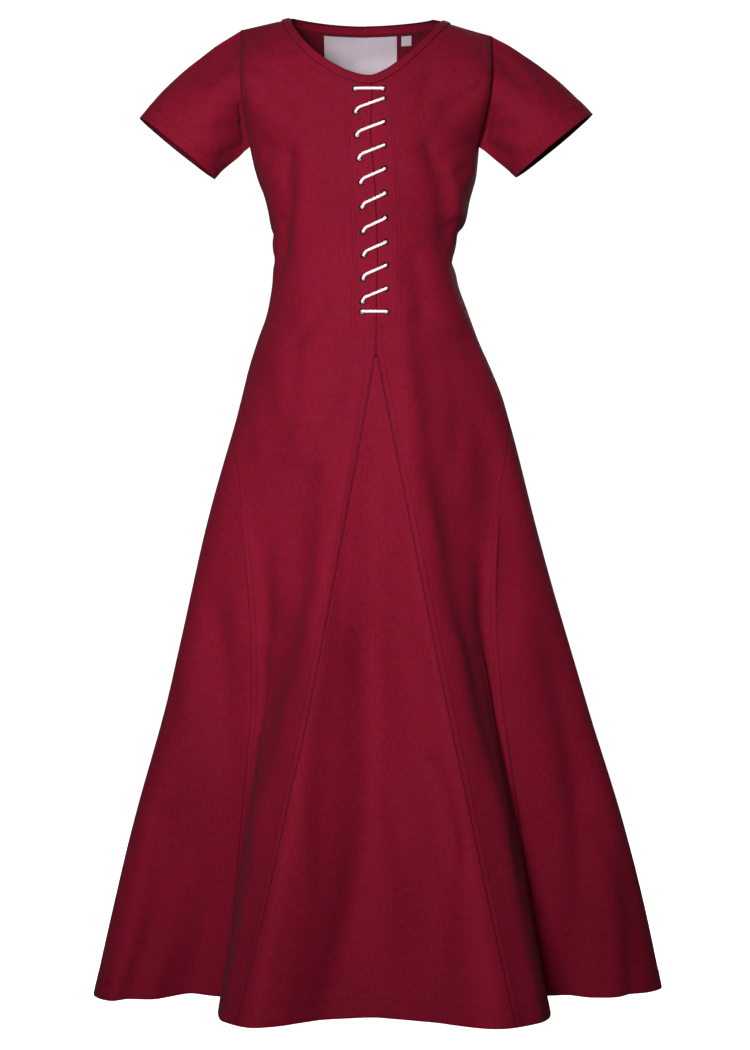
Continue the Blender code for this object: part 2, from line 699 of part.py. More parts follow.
def sleeve(name, sizes, material):
    """A short set-in sleeve, lofted from its armhole to its cuff."""
    start, start_normals = armhole(sizes.side)
    start_normals[0] = unit(start_normals[0] + start_normals[-1])
    start_normals[-1] = start_normals[0]
    along = np.gradient(start, axis=0)
    away = unit(np.cross(along, start_normals)) * SEAM_GAP
    start = start + away * np.sign(away[0, 0] * sizes.side)
    start[-1] = start[0]
    up = Vector(sizes.cuff_up).normalized()
    turns = np.linspace(0, 2 * math.pi, SLEEVE_COLUMNS + 1)
    centre = np.array(sizes.cuff_centre) * MM
    reach = np.outer(np.cos(turns), np.array(up)) * sizes.half_width * MM
    depth = np.outer(-np.sin(turns), [0, 1, 0]) * sizes.half_depth * MM
    end = centre + reach + depth
    bulge = np.clip(np.cos(turns), 0, 1)[:, None] ** 2 * np.array(up) * sizes.rise * MM
    swell = np.outer(-np.sin(turns), [0, 1, 0]) * SLEEVE_FULLNESS
    parts = np.linspace(0, 1, SLEEVE_ROWS + 1)
    points = np.array(
        [start + (end - start) * part + (bulge + swell) * 4 * part * (1 - part) for part in parts]
    )
    around = np.roll(points[:, :-1], -1, axis=1) - np.roll(points[:, :-1], 1, axis=1)
    around = np.concatenate([around, around[:, :1]], axis=1)
    normals = unit(np.cross(np.gradient(points, axis=0), around)) * sizes.side
    inward = points.mean(axis=1, keepdims=True) - points
    normals *= -np.sign(np.sum(normals * inward, axis=-1, keepdims=True))
    normals[0] = start_normals
    return wall(name, points, normals, CLOTH_THICKNESS, material, closed=True)


def band_column(x, half, back):
    """The band's points and normals across its width, above the panel's edge at x."""
    seam_width = abs(half.end_x - NECK_POINT_X) + BAND_WIDTH + SEAM_GAP
    sign = 1 if x > NECK_POINT_X else -1
    part = min(abs(x - NECK_POINT_X) / seam_width, 1)
    points, normals = [], []
    for grown in (BAND_WIDTH, BAND_WIDTH / 2, 0):
        at_x = NECK_POINT_X + sign * part * (abs(half.end_x - NECK_POINT_X) + grown)
        point, normal = form_at(at_x, float(neck_drop(at_x, half, grown, back)), back)
        points.append(point)
        normals.append(normal)
    return points, normals


def neck_band(left_top, back_top, right_top, material):
    """The band round the neck, from one side of the slit round the back to the other."""
    columns = []
    left = [point for point in left_top[::-1] if point[0] >= LEFT_NECK.end_x - BAND_WIDTH - MM]
    right = [point for point in right_top if point[0] <= RIGHT_NECK.end_x + BAND_WIDTH + MM]
    rear = [
        point
        for point in back_top[::-1]
        if LEFT_NECK.end_x - BAND_WIDTH + MM < point[0] < RIGHT_NECK.end_x + BAND_WIDTH - MM
    ]
    columns += [band_column(point[0], LEFT_NECK, back=False) for point in left]
    for point in rear:
        half = LEFT_NECK if point[0] < NECK_POINT_X else RIGHT_NECK
        columns.append(band_column(point[0], half, back=True))
    columns += [band_column(point[0], RIGHT_NECK, back=False) for point in right[::-1]]
    points = np.array([column[0] for column in columns]).transpose(1, 0, 2)
    normals = np.array([column[1] for column in columns]).transpose(1, 0, 2)
    points += normals * (BAND_THICKNESS - CLOTH_THICKNESS) * BAND_PROUD_SHARE
    return wall("neck_band", points, normals, BAND_THICKNESS, material)


def back_patch(name, patch, material):
    """A flat sewn patch that lies inside the back neck."""
    columns = max(2, round((patch.right - patch.left) / PATCH_STEP) + 1)
    rows = max(2, round((patch.top - patch.bottom) / PATCH_STEP) + 1)
    points = np.empty((rows, columns, 3))
    normals = np.empty((rows, columns, 3))
    for i, height in enumerate(np.linspace(patch.bottom, patch.top, rows)):
        for j, x in enumerate(np.linspace(patch.left, patch.right, columns)):
            point, normal = form_at(x, height, back=True)
            points[i, j] = point - normal * (CLOTH_THICKNESS + PATCH_GAP)
            normals[i, j] = normal
    return wall(name, points, normals, LABEL_THICKNESS, material)


def eyelet_places():
    """The left and right eyelets from the top down, as x and height."""
    bottom = EYELET_TOP - (EYELET_COUNT - 2) * EYELET_SPACING - EYELET_END_SPACING
    left, right = [], []
    for index in range(EYELET_COUNT):
        height = EYELET_TOP - index * EYELET_SPACING
        if index == EYELET_COUNT - 1:
            height = bottom
        left.append((float(CENTRE_FRONT_X(height)) - LEFT_EYELET_INSET, height))
        height = EYELET_TOP
        if index > 0:
            height = EYELET_TOP - EYELET_END_SPACING - (index - 1) * EYELET_SPACING
        part = (EYELET_TOP - height) / (EYELET_TOP - bottom)
        x = RIGHT_EYELET_TOP_X + (RIGHT_EYELET_BOTTOM_X - RIGHT_EYELET_TOP_X) * part
        right.append((x, height))
    return left, right


def cut_eyelets(panel, places):
    """Cuts a round hole through the panel at each place."""
    mesh = bmesh.new()
    for x, height in places:
        point, normal = form_at(x, height)
        turn = normal.to_track_quat("Z", "Y").to_matrix().to_4x4()
        bmesh.ops.create_cone(
            mesh,
            cap_ends=True,
            segments=EYELET_SIDES,
            radius1=EYELET_RADIUS,
            radius2=EYELET_RADIUS,
            depth=EYELET_CUT_DEPTH,
            matrix=Matrix.Translation(point) @ turn,
        )
    data = bpy.data.meshes.new(panel.name + "_eyelet_cutter")
    mesh.to_mesh(data)
    mesh.free()
    cutter = bpy.data.objects.new(data.name, data)
    bpy.context.scene.collection.objects.link(cutter)
    cutter.hide_render = True
    cutter.display_type = "WIRE"
    cut = panel.modifiers.new("eyelets", "BOOLEAN")
    cut.operation = "DIFFERENCE"
    cut.object = cutter


def lace_route(left, right):
    """The lace's points: out at a left eyelet, up over the slit, in at the right one, and back."""
    outside = LACE_RADIUS + LACE_CLEARANCE
    inside = -(CLOTH_THICKNESS + LACE_RADIUS + LACE_INNER_CLEARANCE)

    def at(x, height, offset):
        point, normal = form_at(x, height)
        return point + normal * offset

    first, last = left[-1], right[0]
    tail = Vector((0, 0, -LACE_TAIL))
    route = [at(*first, 2 * inside) + tail, at(*first, 2 * inside) + tail / 2]
    for index in reversed(range(len(left))):
        (left_x, left_z), (right_x, right_z) = left[index], right[index]
        route += [at(left_x, left_z, inside), at(left_x, left_z, outside)]
        for step in RUNG:
            x = left_x + (right_x - left_x) * step.along
            rise = step.rise if right_z - left_z > MM else step.along
            route.append(at(x, left_z + (right_z - left_z) * rise, outside))
        route += [at(right_x, right_z, outside), at(right_x, right_z, inside)]
        if index > 0:
            x, height = left[index - 1]
            route.append(at((x + right_x) / 2, (height + right_z) / 2, inside))
    route += [at(*last, 2 * inside) + tail / 2, at(*last, 2 * inside) + tail]
    return route


def lacing(route, material):
    """One round cord through all the eyelets."""
    data = bpy.data.curves.new("lacing", "CURVE")
    data.dimensions = "3D"
    data.bevel_depth = LACE_RADIUS
    data.bevel_resolution = 2
    data.use_fill_caps = True
    spline = data.splines.new("POLY")
    spline.points.add(len(route) - 1)
    for target, point in zip(spline.points, route):
        target.co = (*point, 1)
    data.materials.append(material)
    cord = bpy.data.objects.new("lacing", data)
    bpy.context.scene.collection.objects.link(cord)
    return cord


def main():
    """Builds the whole garment."""
    clear_scene()
    cloth = plain_material("wine_cloth", WINE, 0.9)
    front_left, left_top = front_panel(-1, cloth)
    front_right, right_top = front_panel(1, cloth)
    _, back_top = back_panel(cloth)
    front_gore(cloth)
    side_gore("left", cloth)
    side_gore("right", cloth)
    for name, sizes in SLEEVES.items():
        sleeve(name, sizes, cloth)
    neck_band(left_top, back_top, right_top, cloth)
    label_cloth = plain_material("label_cloth", LABEL_WHITE, 0.6)
    back_patch("label", LABEL, label_cloth)
    back_patch("size_tab", SIZE_TAB, label_cloth)
    left, right = eyelet_places()
    cut_eyelets(front_left, left)
    cut_eyelets(front_right, right)
    lacing(lace_route(left, right), plain_material("lace_cord", WHITE_CORD, 0.7))


if __name__ == "__main__":
    main()
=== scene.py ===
"""Looks of the laced cotehardie: fine cloth shells, seams, stitching, lace, light and camera."""

import logging
import math
from dataclasses import dataclass, field
from enum import Enum
from typing import Callable, Sequence

import bmesh
import bpy
import numpy as np
from mathutils import Matrix, Vector, noise


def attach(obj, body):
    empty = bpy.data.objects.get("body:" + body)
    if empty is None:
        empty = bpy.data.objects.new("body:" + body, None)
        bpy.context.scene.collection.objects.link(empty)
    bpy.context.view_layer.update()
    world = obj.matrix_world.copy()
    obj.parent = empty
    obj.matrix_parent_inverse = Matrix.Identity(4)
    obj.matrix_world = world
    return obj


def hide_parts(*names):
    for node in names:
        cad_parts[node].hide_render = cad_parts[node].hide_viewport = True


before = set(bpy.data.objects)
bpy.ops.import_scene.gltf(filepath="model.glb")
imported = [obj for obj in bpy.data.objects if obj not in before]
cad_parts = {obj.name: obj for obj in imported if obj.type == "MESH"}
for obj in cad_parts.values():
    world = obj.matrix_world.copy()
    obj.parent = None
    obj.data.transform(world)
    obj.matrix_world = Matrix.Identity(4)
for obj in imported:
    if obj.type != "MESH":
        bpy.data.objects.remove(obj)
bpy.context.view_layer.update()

LOG = logging.getLogger("cotehardie")

Colour = tuple[float, float, float, float]
Array = np.ndarray
Pair = tuple[Array, Array]
Socket = bpy.types.NodeSocket

MM = 0.001
ROOT = "root"
CLOTH_UV = "cloth"
EDGE_MASK = "edge"
FAR_FROM_EDGE = 10 * MM

ARMPIT_HEIGHT = -187 * MM
SIDE_APEX_HEIGHT = -562 * MM
FRONT_APEX_HEIGHT = -505 * MM
HEM_HEIGHT = -1447 * MM
SLIT_BOTTOM = -446 * MM
# A negative gap is an overlap, which keeps light from coming through under the sewing
SLIT_GAP = -0.1 * MM
SEAM_GAP = -0.35 * MM
SHELL_THICKNESS = 1.2 * MM
BAND_WIDTH = 11 * MM
HIDDEN_BAND_WIDTH = 4 * MM
APEX_MARGIN = 0.1 * MM
LIFT_SAMPLES = 600


class Side(Enum):
    """Left or right, as seen from the front."""

    LEFT = -1
    RIGHT = 1


class Face(Enum):
    """The side of the dress that a crease lies on."""

    FRONT = (1, -1)
    BACK = (1, 1)
    LEFT = (0, -1)
    RIGHT = (0, 1)


@dataclass(frozen=True)
class Section:
    """One oval of the worn form, in millimetres."""

    height: float
    left: float
    right: float
    front: float
    back: float


@dataclass(frozen=True)
class FoldLine:
    """One fold line of the skirt.

    Its angle at the hip and its swing are in degrees, and its start height and its place
    at the hem in millimetres.
    """

    name: str
    angle: float
    swing: float
    start: float
    hem_x: float
    hem_y: float


@dataclass(frozen=True)
class NeckHalf:
    """One half of the neckline: its end at the shoulder and the powers of its curve."""

    end_x: float
    end_z: float
    width_power: float
    drop_power: float


@dataclass(frozen=True)
class Crease:
    """A soft trough (negative depth) or ridge along a line on one face, in millimetres.

    Its ends are given across (x, or y on the sides) and by height, and its bow as a
    share of its length.
    """

    across_a: float
    height_a: float
    across_b: float
    height_b: float
    width: float
    depth: float
    bow: float = 0.06


SECTIONS = (
    Section(-187, -173, 166, -128, 112),
    Section(-230, -163, 162, -133, 112),
    Section(-266, -150, 153, -127, 107),
    Section(-300, -143, 146, -116, 101),
    Section(-326, -140, 134, -108, 97),
    Section(-355, -138, 129, -104, 96),
    Section(-385, -139, 133, -105, 98),
    Section(-430, -146, 148, -112, 104),
    Section(-474, -161, 164, -121, 114),
    Section(-518, -175, 183, -129, 124),
    Section(-562, -186, 200, -134, 131),
    Section(-770, -243, 256, -142, 157),
    Section(-1006, -296, 324, -150, 186),
    Section(-1243, -361, 398, -158, 215),
    Section(-1447, -408, 446, -165, 240),
)
OVAL_SQUARENESS = 2.15
FRONT_SQUARENESS = (
    (-1447, 1.5), (-1006, 1.5), (-770, 1.65), (-660, 1.8), (-562, 2.0), (-505, 2.1), (-430, 2.15),
    (-187, 2.15),
)

FOLD_LINES = (
    FoldLine("back centre trough", -180, 0, -520, 12, 238),
    FoldLine("back left slope", -173, 0, -520, -62, 262),
    FoldLine("back left crest", -165, 0, -520, -132, 292),
    FoldLine("back left ridge", -154, 0, -520, -186, 258),
    FoldLine("back left wall", -130, -15, -535, -203, 186),
    FoldLine("left gore back seam", -90.6, -43.4, -562, -236, 138),
    FoldLine("left gore back trough", -90.4, -35.6, -562, -296, 128),
    FoldLine("left rear crest", -90.2, -22.8, -562, -376, 104),
    FoldLine("left edge", -90, 0, -562, -408, 30),
    FoldLine("left front crest", -89.8, 16.8, -562, -378, -26),
    FoldLine("left gore trough", -89.6, 34.6, -562, -290, 10),
    FoldLine("left gore front seam", -89.4, 47.4, -562, -205, 6),
    FoldLine("left wall", -52, 22, -530, -214, -96),
    FoldLine("left ridge", -11, 0, -480, -202, -188),
    FoldLine("left crest", -6, 0, -470, -160, -240),
    FoldLine("left inner slope", -3, 0, -470, -92, -203),
    FoldLine("front trough", 3, 0, -470, 14, -160),
    FoldLine("right inner slope", 8, 0, -470, 96, -203),
    FoldLine("right crest", 12, 0, -470, 186, -248),
    FoldLine("right ridge", 17, 0, -480, 255, -176),
    FoldLine("right wall", 54, -23, -530, 264, -84),
    FoldLine("right gore front seam", 89.4, -48, -562, 254, 14),
    FoldLine("right gore trough", 89.6, -35.6, -562, 334, 2),
    FoldLine("right front crest", 89.8, -18.8, -562, 408, 34),
    FoldLine("right edge", 90, 0, -562, 446, 96),
    FoldLine("right rear crest", 90.2, 27, -562, 402, 152),
    FoldLine("right gore back trough", 90.4, 38.6, -562, 318, 140),
    FoldLine("right gore back seam", 90.6, 46.4, -562, 248, 152),
    FoldLine("back right wall", 130, 18, -535, 214, 204),
    FoldLine("back right ridge", 154, 0, -520, 202, 270),
    FoldLine("back right crest", 165, 0, -520, 148, 302),
    FoldLine("back right slope", 173, 0, -520, 80, 266),
)
FOLD_SOFTNESS = 0.10
SIDE_FOLD_POWER = 2.5
SWING_RATE = 7
SWING_SOFTNESS = 0.02

LEFT_TIP = (-186.5 * MM, -15 * MM)
RIGHT_TIP = (185 * MM, -24 * MM)
FRONT_ARMHOLE_DEPTH = 56 * MM
BACK_ARMHOLE_DEPTH = 52 * MM
ARMHOLE_SPREAD = 4
ARMHOLE_SWELL = 1.5
SHOULDER_ROUNDING = 2.5
BACK_NECK_RISE = 40 * MM
FRONT_NECK_RISE = 15 * MM

NECK_POINT_X = 3 * MM
NECK_POINT_Z = -102 * MM
LEFT_NECK = NeckHalf(-114 * MM, 0, 1.65, 1.42)
RIGHT_NECK = NeckHalf(112.5 * MM, -3 * MM, 1.55, 1.0)
BACK_NECK_Z = 1 * MM
BACK_NECK_POWER = 4
# How far the neckline's ends and its point fall for each unit that the line grows outward
NECK_END_FALL = 0.2
NECK_POINT_FALL = 1.1

CENTRE_FRONT = ((-505, 13.3), (-440, 13.5), (-360, 15.5), (-265, 12), (-175, 5), (-90, 2.5))

GORE_APEX_WIDTH = 4 * MM
GORE_HEM_X = {Side.LEFT: -183 * MM, Side.RIGHT: 208 * MM}
GORE_BOW = {Side.LEFT: 11 * MM, Side.RIGHT: -3 * MM}

CREASES = {
    Face.FRONT: (
        # Bodice, front: troughs beside the bust, and short pulls from armholes, underarms and waist
        Crease(88, -190, 116, -330, 15, -7.5),
        Crease(116, -225, 132, -300, 10, 4.0),
        Crease(64, -350, 84, -450, 16, -5.0),
        Crease(40, -385, 52, -470, 12, 2.5),
        Crease(-116, -200, -142, -390, 14, -8.5),
        Crease(-92, -190, -112, -330, 12, 2.5),
        Crease(-158, -60, -150, -140, 9, -3.0),
        Crease(-61, -420, -108, -486, 12, -3.6),
        Crease(-30, -455, -68, -600, 14, -4.5),
        Crease(-172, -112, -104, -158, 10, -5.5),
        Crease(-176, -80, -118, -104, 9, -3.5),
        Crease(-164, -186, -112, -224, 9, -4.5),
        Crease(-150, -205, -118, -252, 8, -3.0),
        Crease(-96, -82, -78, -150, 11, -4.0),
        Crease(-62, -108, -58, -168, 10, -2.6),
        Crease(172, -105, 108, -150, 10, -5.0),
        Crease(176, -66, 130, -92, 9, -3.2),
        Crease(166, -180, 108, -214, 9, -5.0),
        Crease(156, -216, 112, -248, 8, -4.0),
        Crease(92, -84, 76, -146, 11, -3.6),
        Crease(132, -318, 104, -346, 9, -3.0),
        Crease(-138, -340, -104, -366, 9, -2.6),
        # Skirt, front: the troughs outside the two lit ridges, and those within the gore
        Crease(86, -440, 106, -600, 30, -8.0, 0),
        Crease(104, -600, 126, -745, 34, -8.0, 0),
        Crease(126, -745, 152, -900, 32, -6.0, 0),
        Crease(150, -900, 186, -1040, 26, -4.0, 0),
        Crease(54, -470, 80, -660, 14, 4.5, 0),
        Crease(80, -660, 112, -860, 15, 6.0, 0),
        Crease(112, -860, 154, -1040, 15, 6.0, 0.01),
        Crease(154, -1040, 196, -1200, 14, 6.0, 0.01),
        Crease(196, -1200, 240, -1447, 12, 5.0, 0),
        Crease(-92, -660, -106, -800, 24, -7.0, 0),
        Crease(-106, -800, -128, -920, 26, -8.0, 0),
        Crease(-128, -920, -160, -1050, 22, -6.0, 0),
        Crease(-54, -640, -74, -860, 14, 4.5, 0),
        Crease(-74, -860, -116, -1040, 14, 6.5, 0),
        Crease(-116, -1040, -160, -1200, 13, 6.5, 0),
        Crease(-160, -1200, -202, -1447, 12, 5.0, 0),
        Crease(84, -1075, 122, -1225, 13, -5.0),
        Crease(-4, -900, -60, -1447, 26, -8.5),
        Crease(72, -920, 92, -1447, 20, -5.0),
        Crease(-96, -1100, -118, -1447, 18, 4.0),
        Crease(32, -1120, 36, -1447, 18, 3.0),
        Crease(-150, -530, -160, -900, 20, -4.5),
        Crease(158, -560, 190, -930, 22, -3.4),
        Crease(-114, -440, -124, -640, 15, -4.0),
        Crease(122, -480, 132, -660, 14, -2.6),
        Crease(144, -455, 172, -740, 42, -10.0, 0),
        # Side gores, front face
        Crease(-225, -860, -262, -1447, 22, -8.0),
        Crease(-262, -940, -316, -1447, 20, 5.0),
        Crease(-300, -1160, -352, -1447, 16, -6.0),
        Crease(262, -900, 300, -1447, 22, -8.0),
        Crease(300, -980, 366, -1447, 20, 5.0),
        Crease(340, -1180, 398, -1447, 16, -6.0),
    ),
    Face.LEFT: (
        Crease(-60, -300, 20, -330, 9, -3.2),
        Crease(-50, -372, 30, -352, 9, -3.0),
        Crease(-70, -600, -100, -900, 22, -4.0),
        Crease(-118, -760, -150, -1200, 22, 4.0),
    ),
    Face.RIGHT: (
        Crease(-60, -305, 30, -330, 9, -3.6),
        Crease(-40, -375, 40, -350, 9, -3.0),
        Crease(-70, -600, -105, -930, 22, -4.0),
        Crease(-120, -780, -145, -1180, 20, 3.6),
    ),
    Face.BACK: (
        Crease(-172, -105, -110, -150, 10, -4.4),
        Crease(172, -100, 112, -142, 10, -4.4),
        Crease(-164, -180, -112, -214, 9, -4.2),
        Crease(160, -178, 108, -210, 9, -4.4),
        Crease(-104, -210, -98, -390, 16, -6.0),
        Crease(100, -212, 94, -392, 16, -6.0),
        Crease(-128, -336, -52, -352, 9, -4.4),
        Crease(-120, -372, -36, -362, 8, -3.2),
        Crease(118, -330, 44, -350, 9, -4.4),
        Crease(110, -372, 30, -366, 9, -3.4),
        Crease(-60, -470, -96, -820, 18, -8.0),
        Crease(62, -470, 104, -840, 18, -8.0),
        Crease(-8, -640, 4, -1447, 24, -7.5),
        Crease(-120, -900, -152, -1447, 18, -5.0),
        Crease(128, -880, 166, -1447, 20, -5.4),
        Crease(-262, -900, -318, -1447, 20, -6.5),
        Crease(270, -900, 336, -1447, 20, -6.5),
    ),
}
CREASE_FADE = 0.16
CREASE_UNEVENNESS = 0.25
WAVE_DEPTH = 1.6 * MM
WAVE_SCALE = (11.0, 11.0, 4.2)
SLEEVE_WAVE_SCALE = 22
PUCKER_DEPTH = 0.22 * MM
PUCKER_SCALE = 95.0
PUCKER_REACH = 12 * MM
HEM_PUCKER_REACH = 14 * MM
HEM_RISE = 0.5 * MM
HEM_RISE_EASE = 2 * MM
HEM_DIP = 0.45 * MM
HEM_DIP_WIDTH = 1.1 * MM
HEM_ROLL = 0.9 * MM
HEM_ROLL_WIDTH = 1.2 * MM


def knot_slopes(knots: Array, values: Array, overshoots: bool) -> Array:
    """Find the slope of a smooth curve at each of its knots.

    Args:
        knots: Places of the knots, rising.
        values: The curve's values there.
        overshoots: Whether the curve may leave the span of its knots.

    Returns:
        One slope for each knot.
    """
    steps = np.diff(knots)
    grades = np.diff(values) / steps
    before, after = grades[:-1], grades[1:]
    inner = (steps[1:] * before + steps[:-1] * after) / (steps[1:] + steps[:-1])
    if not overshoots:
        same_way = before * after > 0
        inner = np.where(same_way, 2 * before * after / np.where(same_way, before + after, 1), 0)
    return np.concatenate([[grades[0]], inner, [grades[-1]]])


def smooth_curve(
    knots: Sequence[float], values: Sequence[float], overshoots: bool = False
) -> Callable[[Array], Array]:
    """Make a function that passes smoothly through the knots.

    Args:
        knots: Places of the knots, rising.
        values: The curve's values there.
        overshoots: Whether the curve may leave the span of its knots.

    Returns:
        The curve, as a function of place.
    """
    at = np.asarray(knots, float)
    height = np.asarray(values, float)
    slopes = knot_slopes(at, height, overshoots)

    def value_at(where: Array) -> Array:
        """Read the curve.

        Args:
            where: Places, held within the span of the knots.

        Returns:
            The curve's value at each place.
        """
        where = np.clip(where, at[0], at[-1])
        index = np.clip(np.searchsorted(at, where) - 1, 0, len(at) - 2)
        step = at[index + 1] - at[index]
        part = (where - at[index]) / step
        rest = 1 - part
        near = height[index] * (1 + 2 * part) + slopes[index] * step * part
        far = height[index + 1] * (1 + 2 * rest) - slopes[index + 1] * step * rest
        return near * rest**2 + far * part**2

    return value_at


def unit(vectors: Array) -> Array:
    """Scale vectors to length one."""
    return vectors / np.maximum(np.linalg.norm(vectors, axis=-1, keepdims=True), 1e-12)


def ease(part: Array) -> Array:
    """Ease a share smoothly from 0 to 1."""
    part = np.clip(part, 0, 1)
    return part * part * (3 - 2 * part)


def signed_power(value: Array, power: float) -> Array:
    """Raise a value to a power and keep its sign."""
    return np.sign(value) * np.abs(value) ** power


def bell(distance: Array, width: float) -> Array:
    """Give a soft hump that is 1 at no distance and fades over a width."""
    return np.exp(-((distance / width) ** 2))


def lengths_along(points: Array) -> Array:
    """Measure the distance along a line of points, 0 at its start."""
    return np.concatenate([[0], np.cumsum(np.linalg.norm(np.diff(points, axis=0), axis=1))])


def read_along(places: Array, lengths: Array, values: Array) -> Array:
    """Read a line's points or normals, given with their distances along it, at some places."""
    return np.stack([np.interp(places, lengths, values[:, axis]) for axis in range(3)], -1)


def turned_seam(distance: Array, width: float) -> Array:
    """Find how a hem, stitched at a width from its edge, rises there and dips at its stitches."""
    past = distance - width
    return HEM_RISE * (1 - ease(past / HEM_RISE_EASE)) - HEM_DIP * bell(past, HEM_DIP_WIDTH)


class WornForm:
    """The hollow form that every panel lies on, with its creases."""

    CLOTH_SAMPLES = 20001
    RIB_SAMPLES = 801

    def __init__(self) -> None:
        """Read the tables into curves."""
        rows = sorted(SECTIONS, key=lambda row: row.height)
        heights = [row.height * MM for row in rows]
        self.oval = {
            name: smooth_curve(heights, [getattr(row, name) * MM for row in rows])
            for name in ("left", "right", "front", "back")
        }
        around = FOLD_LINES + FOLD_LINES[:1]
        gaps = [
            math.hypot(b.hem_x - a.hem_x, b.hem_y - a.hem_y) * MM for a, b in zip(around, around[1:])
        ]
        places = np.concatenate([[0], np.cumsum(gaps)])
        self.length = float(places[-1])
        # Two lines from the far end are repeated at each end, so that the curves join smoothly
        wrapped = FOLD_LINES[-2:] + around + FOLD_LINES[1:3]
        turns = [-360, -360] + [0] * len(FOLD_LINES) + [360] * 3
        knots = np.concatenate([places[-3:-1] - self.length, places, places[1:3] + self.length])
        angles = [line.angle + turn for line, turn in zip(wrapped, turns)]
        self.angle = smooth_curve(knots, np.radians(angles))
        self.swing = smooth_curve(knots, [math.radians(line.swing) for line in wrapped])
        self.start = smooth_curve(knots, [line.start * MM for line in wrapped])
        self.side = smooth_curve(knots, [line.start * MM == SIDE_APEX_HEIGHT for line in wrapped])
        self.hem_x = smooth_curve(knots, [line.hem_x * MM for line in wrapped], overshoots=True)
        self.hem_y = smooth_curve(knots, [line.hem_y * MM for line in wrapped], overshoots=True)
        self.place = {line.name: float(at) for line, at in zip(FOLD_LINES, places)}
        self.squareness = smooth_curve(
            [row[0] * MM for row in FRONT_SQUARENESS], [row[1] for row in FRONT_SQUARENESS]
        )
        self.centre_x = smooth_curve(
            [row[0] * MM for row in CENTRE_FRONT], [row[1] * MM for row in CENTRE_FRONT]
        )
        self.rings: dict[float, "Ring"] = {}

    def oval_point(self, angle: Array, height: float) -> Pair:
        """Find points of the plain oval.

        Args:
            angle: Angles round the form, 0 at the centre front.
            height: The oval's height.

        Returns:
            The x and the y of each point.
        """
        centre = (self.oval["left"](height) + self.oval["right"](height)) / 2
        half = (self.oval["right"](height) - self.oval["left"](height)) / 2
        power = 2 / np.where(np.cos(angle) > 0, self.squareness(height), OVAL_SQUARENESS)
        toward_front = signed_power(np.cos(angle), power)
        depth = np.where(toward_front > 0, self.oval["front"](height), -self.oval["back"](height))
        return centre + half * signed_power(np.sin(angle), power), depth * toward_front

    def swung_point(self, cloth: Array, height: float) -> Pair:
        """Find the oval's points for cloth coordinates, once their fold lines have swung round.

        Args:
            cloth: Cloth coordinates, distances along the hem from the centre back.
            height: The oval's height.

        Returns:
            The x and the y of each point.
        """
        drop = max(0.0, (SIDE_APEX_HEIGHT - height) / (SIDE_APEX_HEIGHT - HEM_HEIGHT))
        swung = 1 - math.exp(-SWING_RATE * drop**2 / (drop + SWING_SOFTNESS))
        return self.oval_point(self.angle(cloth) + swung * self.swing(cloth), height)

    def ring_point(self, cloth: Array, height: float) -> Array:
        """Find the form's points below the armpits.

        Args:
            cloth: Cloth coordinates, distances along the hem from the centre back.
            height: The ring's height.

        Returns:
            One point for each cloth coordinate.
        """
        cloth = np.mod(cloth, self.length)
        x, y = self.swung_point(cloth, height)
        plain_x, plain_y = self.swung_point(cloth, HEM_HEIGHT)
        start = self.start(cloth)
        drop = np.clip((start - height) / (start - HEM_HEIGHT), 0, None)
        full = math.hypot(1, FOLD_SOFTNESS) - FOLD_SOFTNESS
        share = (np.hypot(drop, FOLD_SOFTNESS) - FOLD_SOFTNESS) / full
        share = share + self.side(cloth) * (drop**SIDE_FOLD_POWER - share)
        x = x + share * (self.hem_x(cloth) - plain_x)
        y = y + share * (self.hem_y(cloth) - plain_y)
        return np.stack([x, y, np.broadcast_to(height, np.shape(x))], axis=-1)

    def shoulder_line(self, angle: Array) -> Pair:
        """Find where ribs of the upper form meet the shoulder.

        Args:
            angle: Each rib's angle, 0 at the centre front.

        Returns:
            The x and the height of each rib's end.
        """
        left = np.sin(angle) < 0
        tip_x = np.where(left, LEFT_TIP[0], RIGHT_TIP[0])
        tip_z = np.where(left, LEFT_TIP[1], RIGHT_TIP[1])
        neck_x = np.where(left, LEFT_NECK.end_x, RIGHT_NECK.end_x)
        neck_z = np.where(left, LEFT_NECK.end_z, RIGHT_NECK.end_z)
        x = tip_x * np.abs(np.sin(angle))
        along = (x - neck_x) / (tip_x - neck_x)
        inside = np.clip(1 - (x / neck_x) ** 2, 0, 1)
        rise = np.where(np.cos(angle) > 0, FRONT_NECK_RISE, BACK_NECK_RISE)
        return x, neck_z + (tip_z - neck_z) * np.clip(along, 0, None) + rise * inside**2

    def upper_point(self, angle: Array, lift: Array, side: int) -> Array:
        """Find the form's points above the armpits.

        Args:
            angle: Each rib's angle, 0 at the centre front.
            lift: From 0 at the armpit to pi/2 at the shoulder.
            side: -1 on the front and 1 on the back.

        Returns:
            One point for each rib and lift.
        """
        base_x, base_y = self.oval_point(angle, ARMPIT_HEIGHT)
        top_x, top_z = self.shoulder_line(angle)
        rise = np.sin(lift)
        outward = 1 - (1 - np.clip(rise, 0, 1)) ** SHOULDER_ROUNDING
        x = base_x + (top_x - base_x) * outward
        z = ARMPIT_HEIGHT + (top_z - ARMPIT_HEIGHT) * rise
        depth = FRONT_ARMHOLE_DEPTH if side < 0 else BACK_ARMHOLE_DEPTH
        swell = np.clip(np.sin(math.pi * rise), 0, 1) ** ARMHOLE_SWELL
        bulge = side * depth * np.abs(np.sin(angle)) ** ARMHOLE_SPREAD * swell
        return np.stack(np.broadcast_arrays(x, base_y * np.cos(lift) + bulge, z), axis=-1)

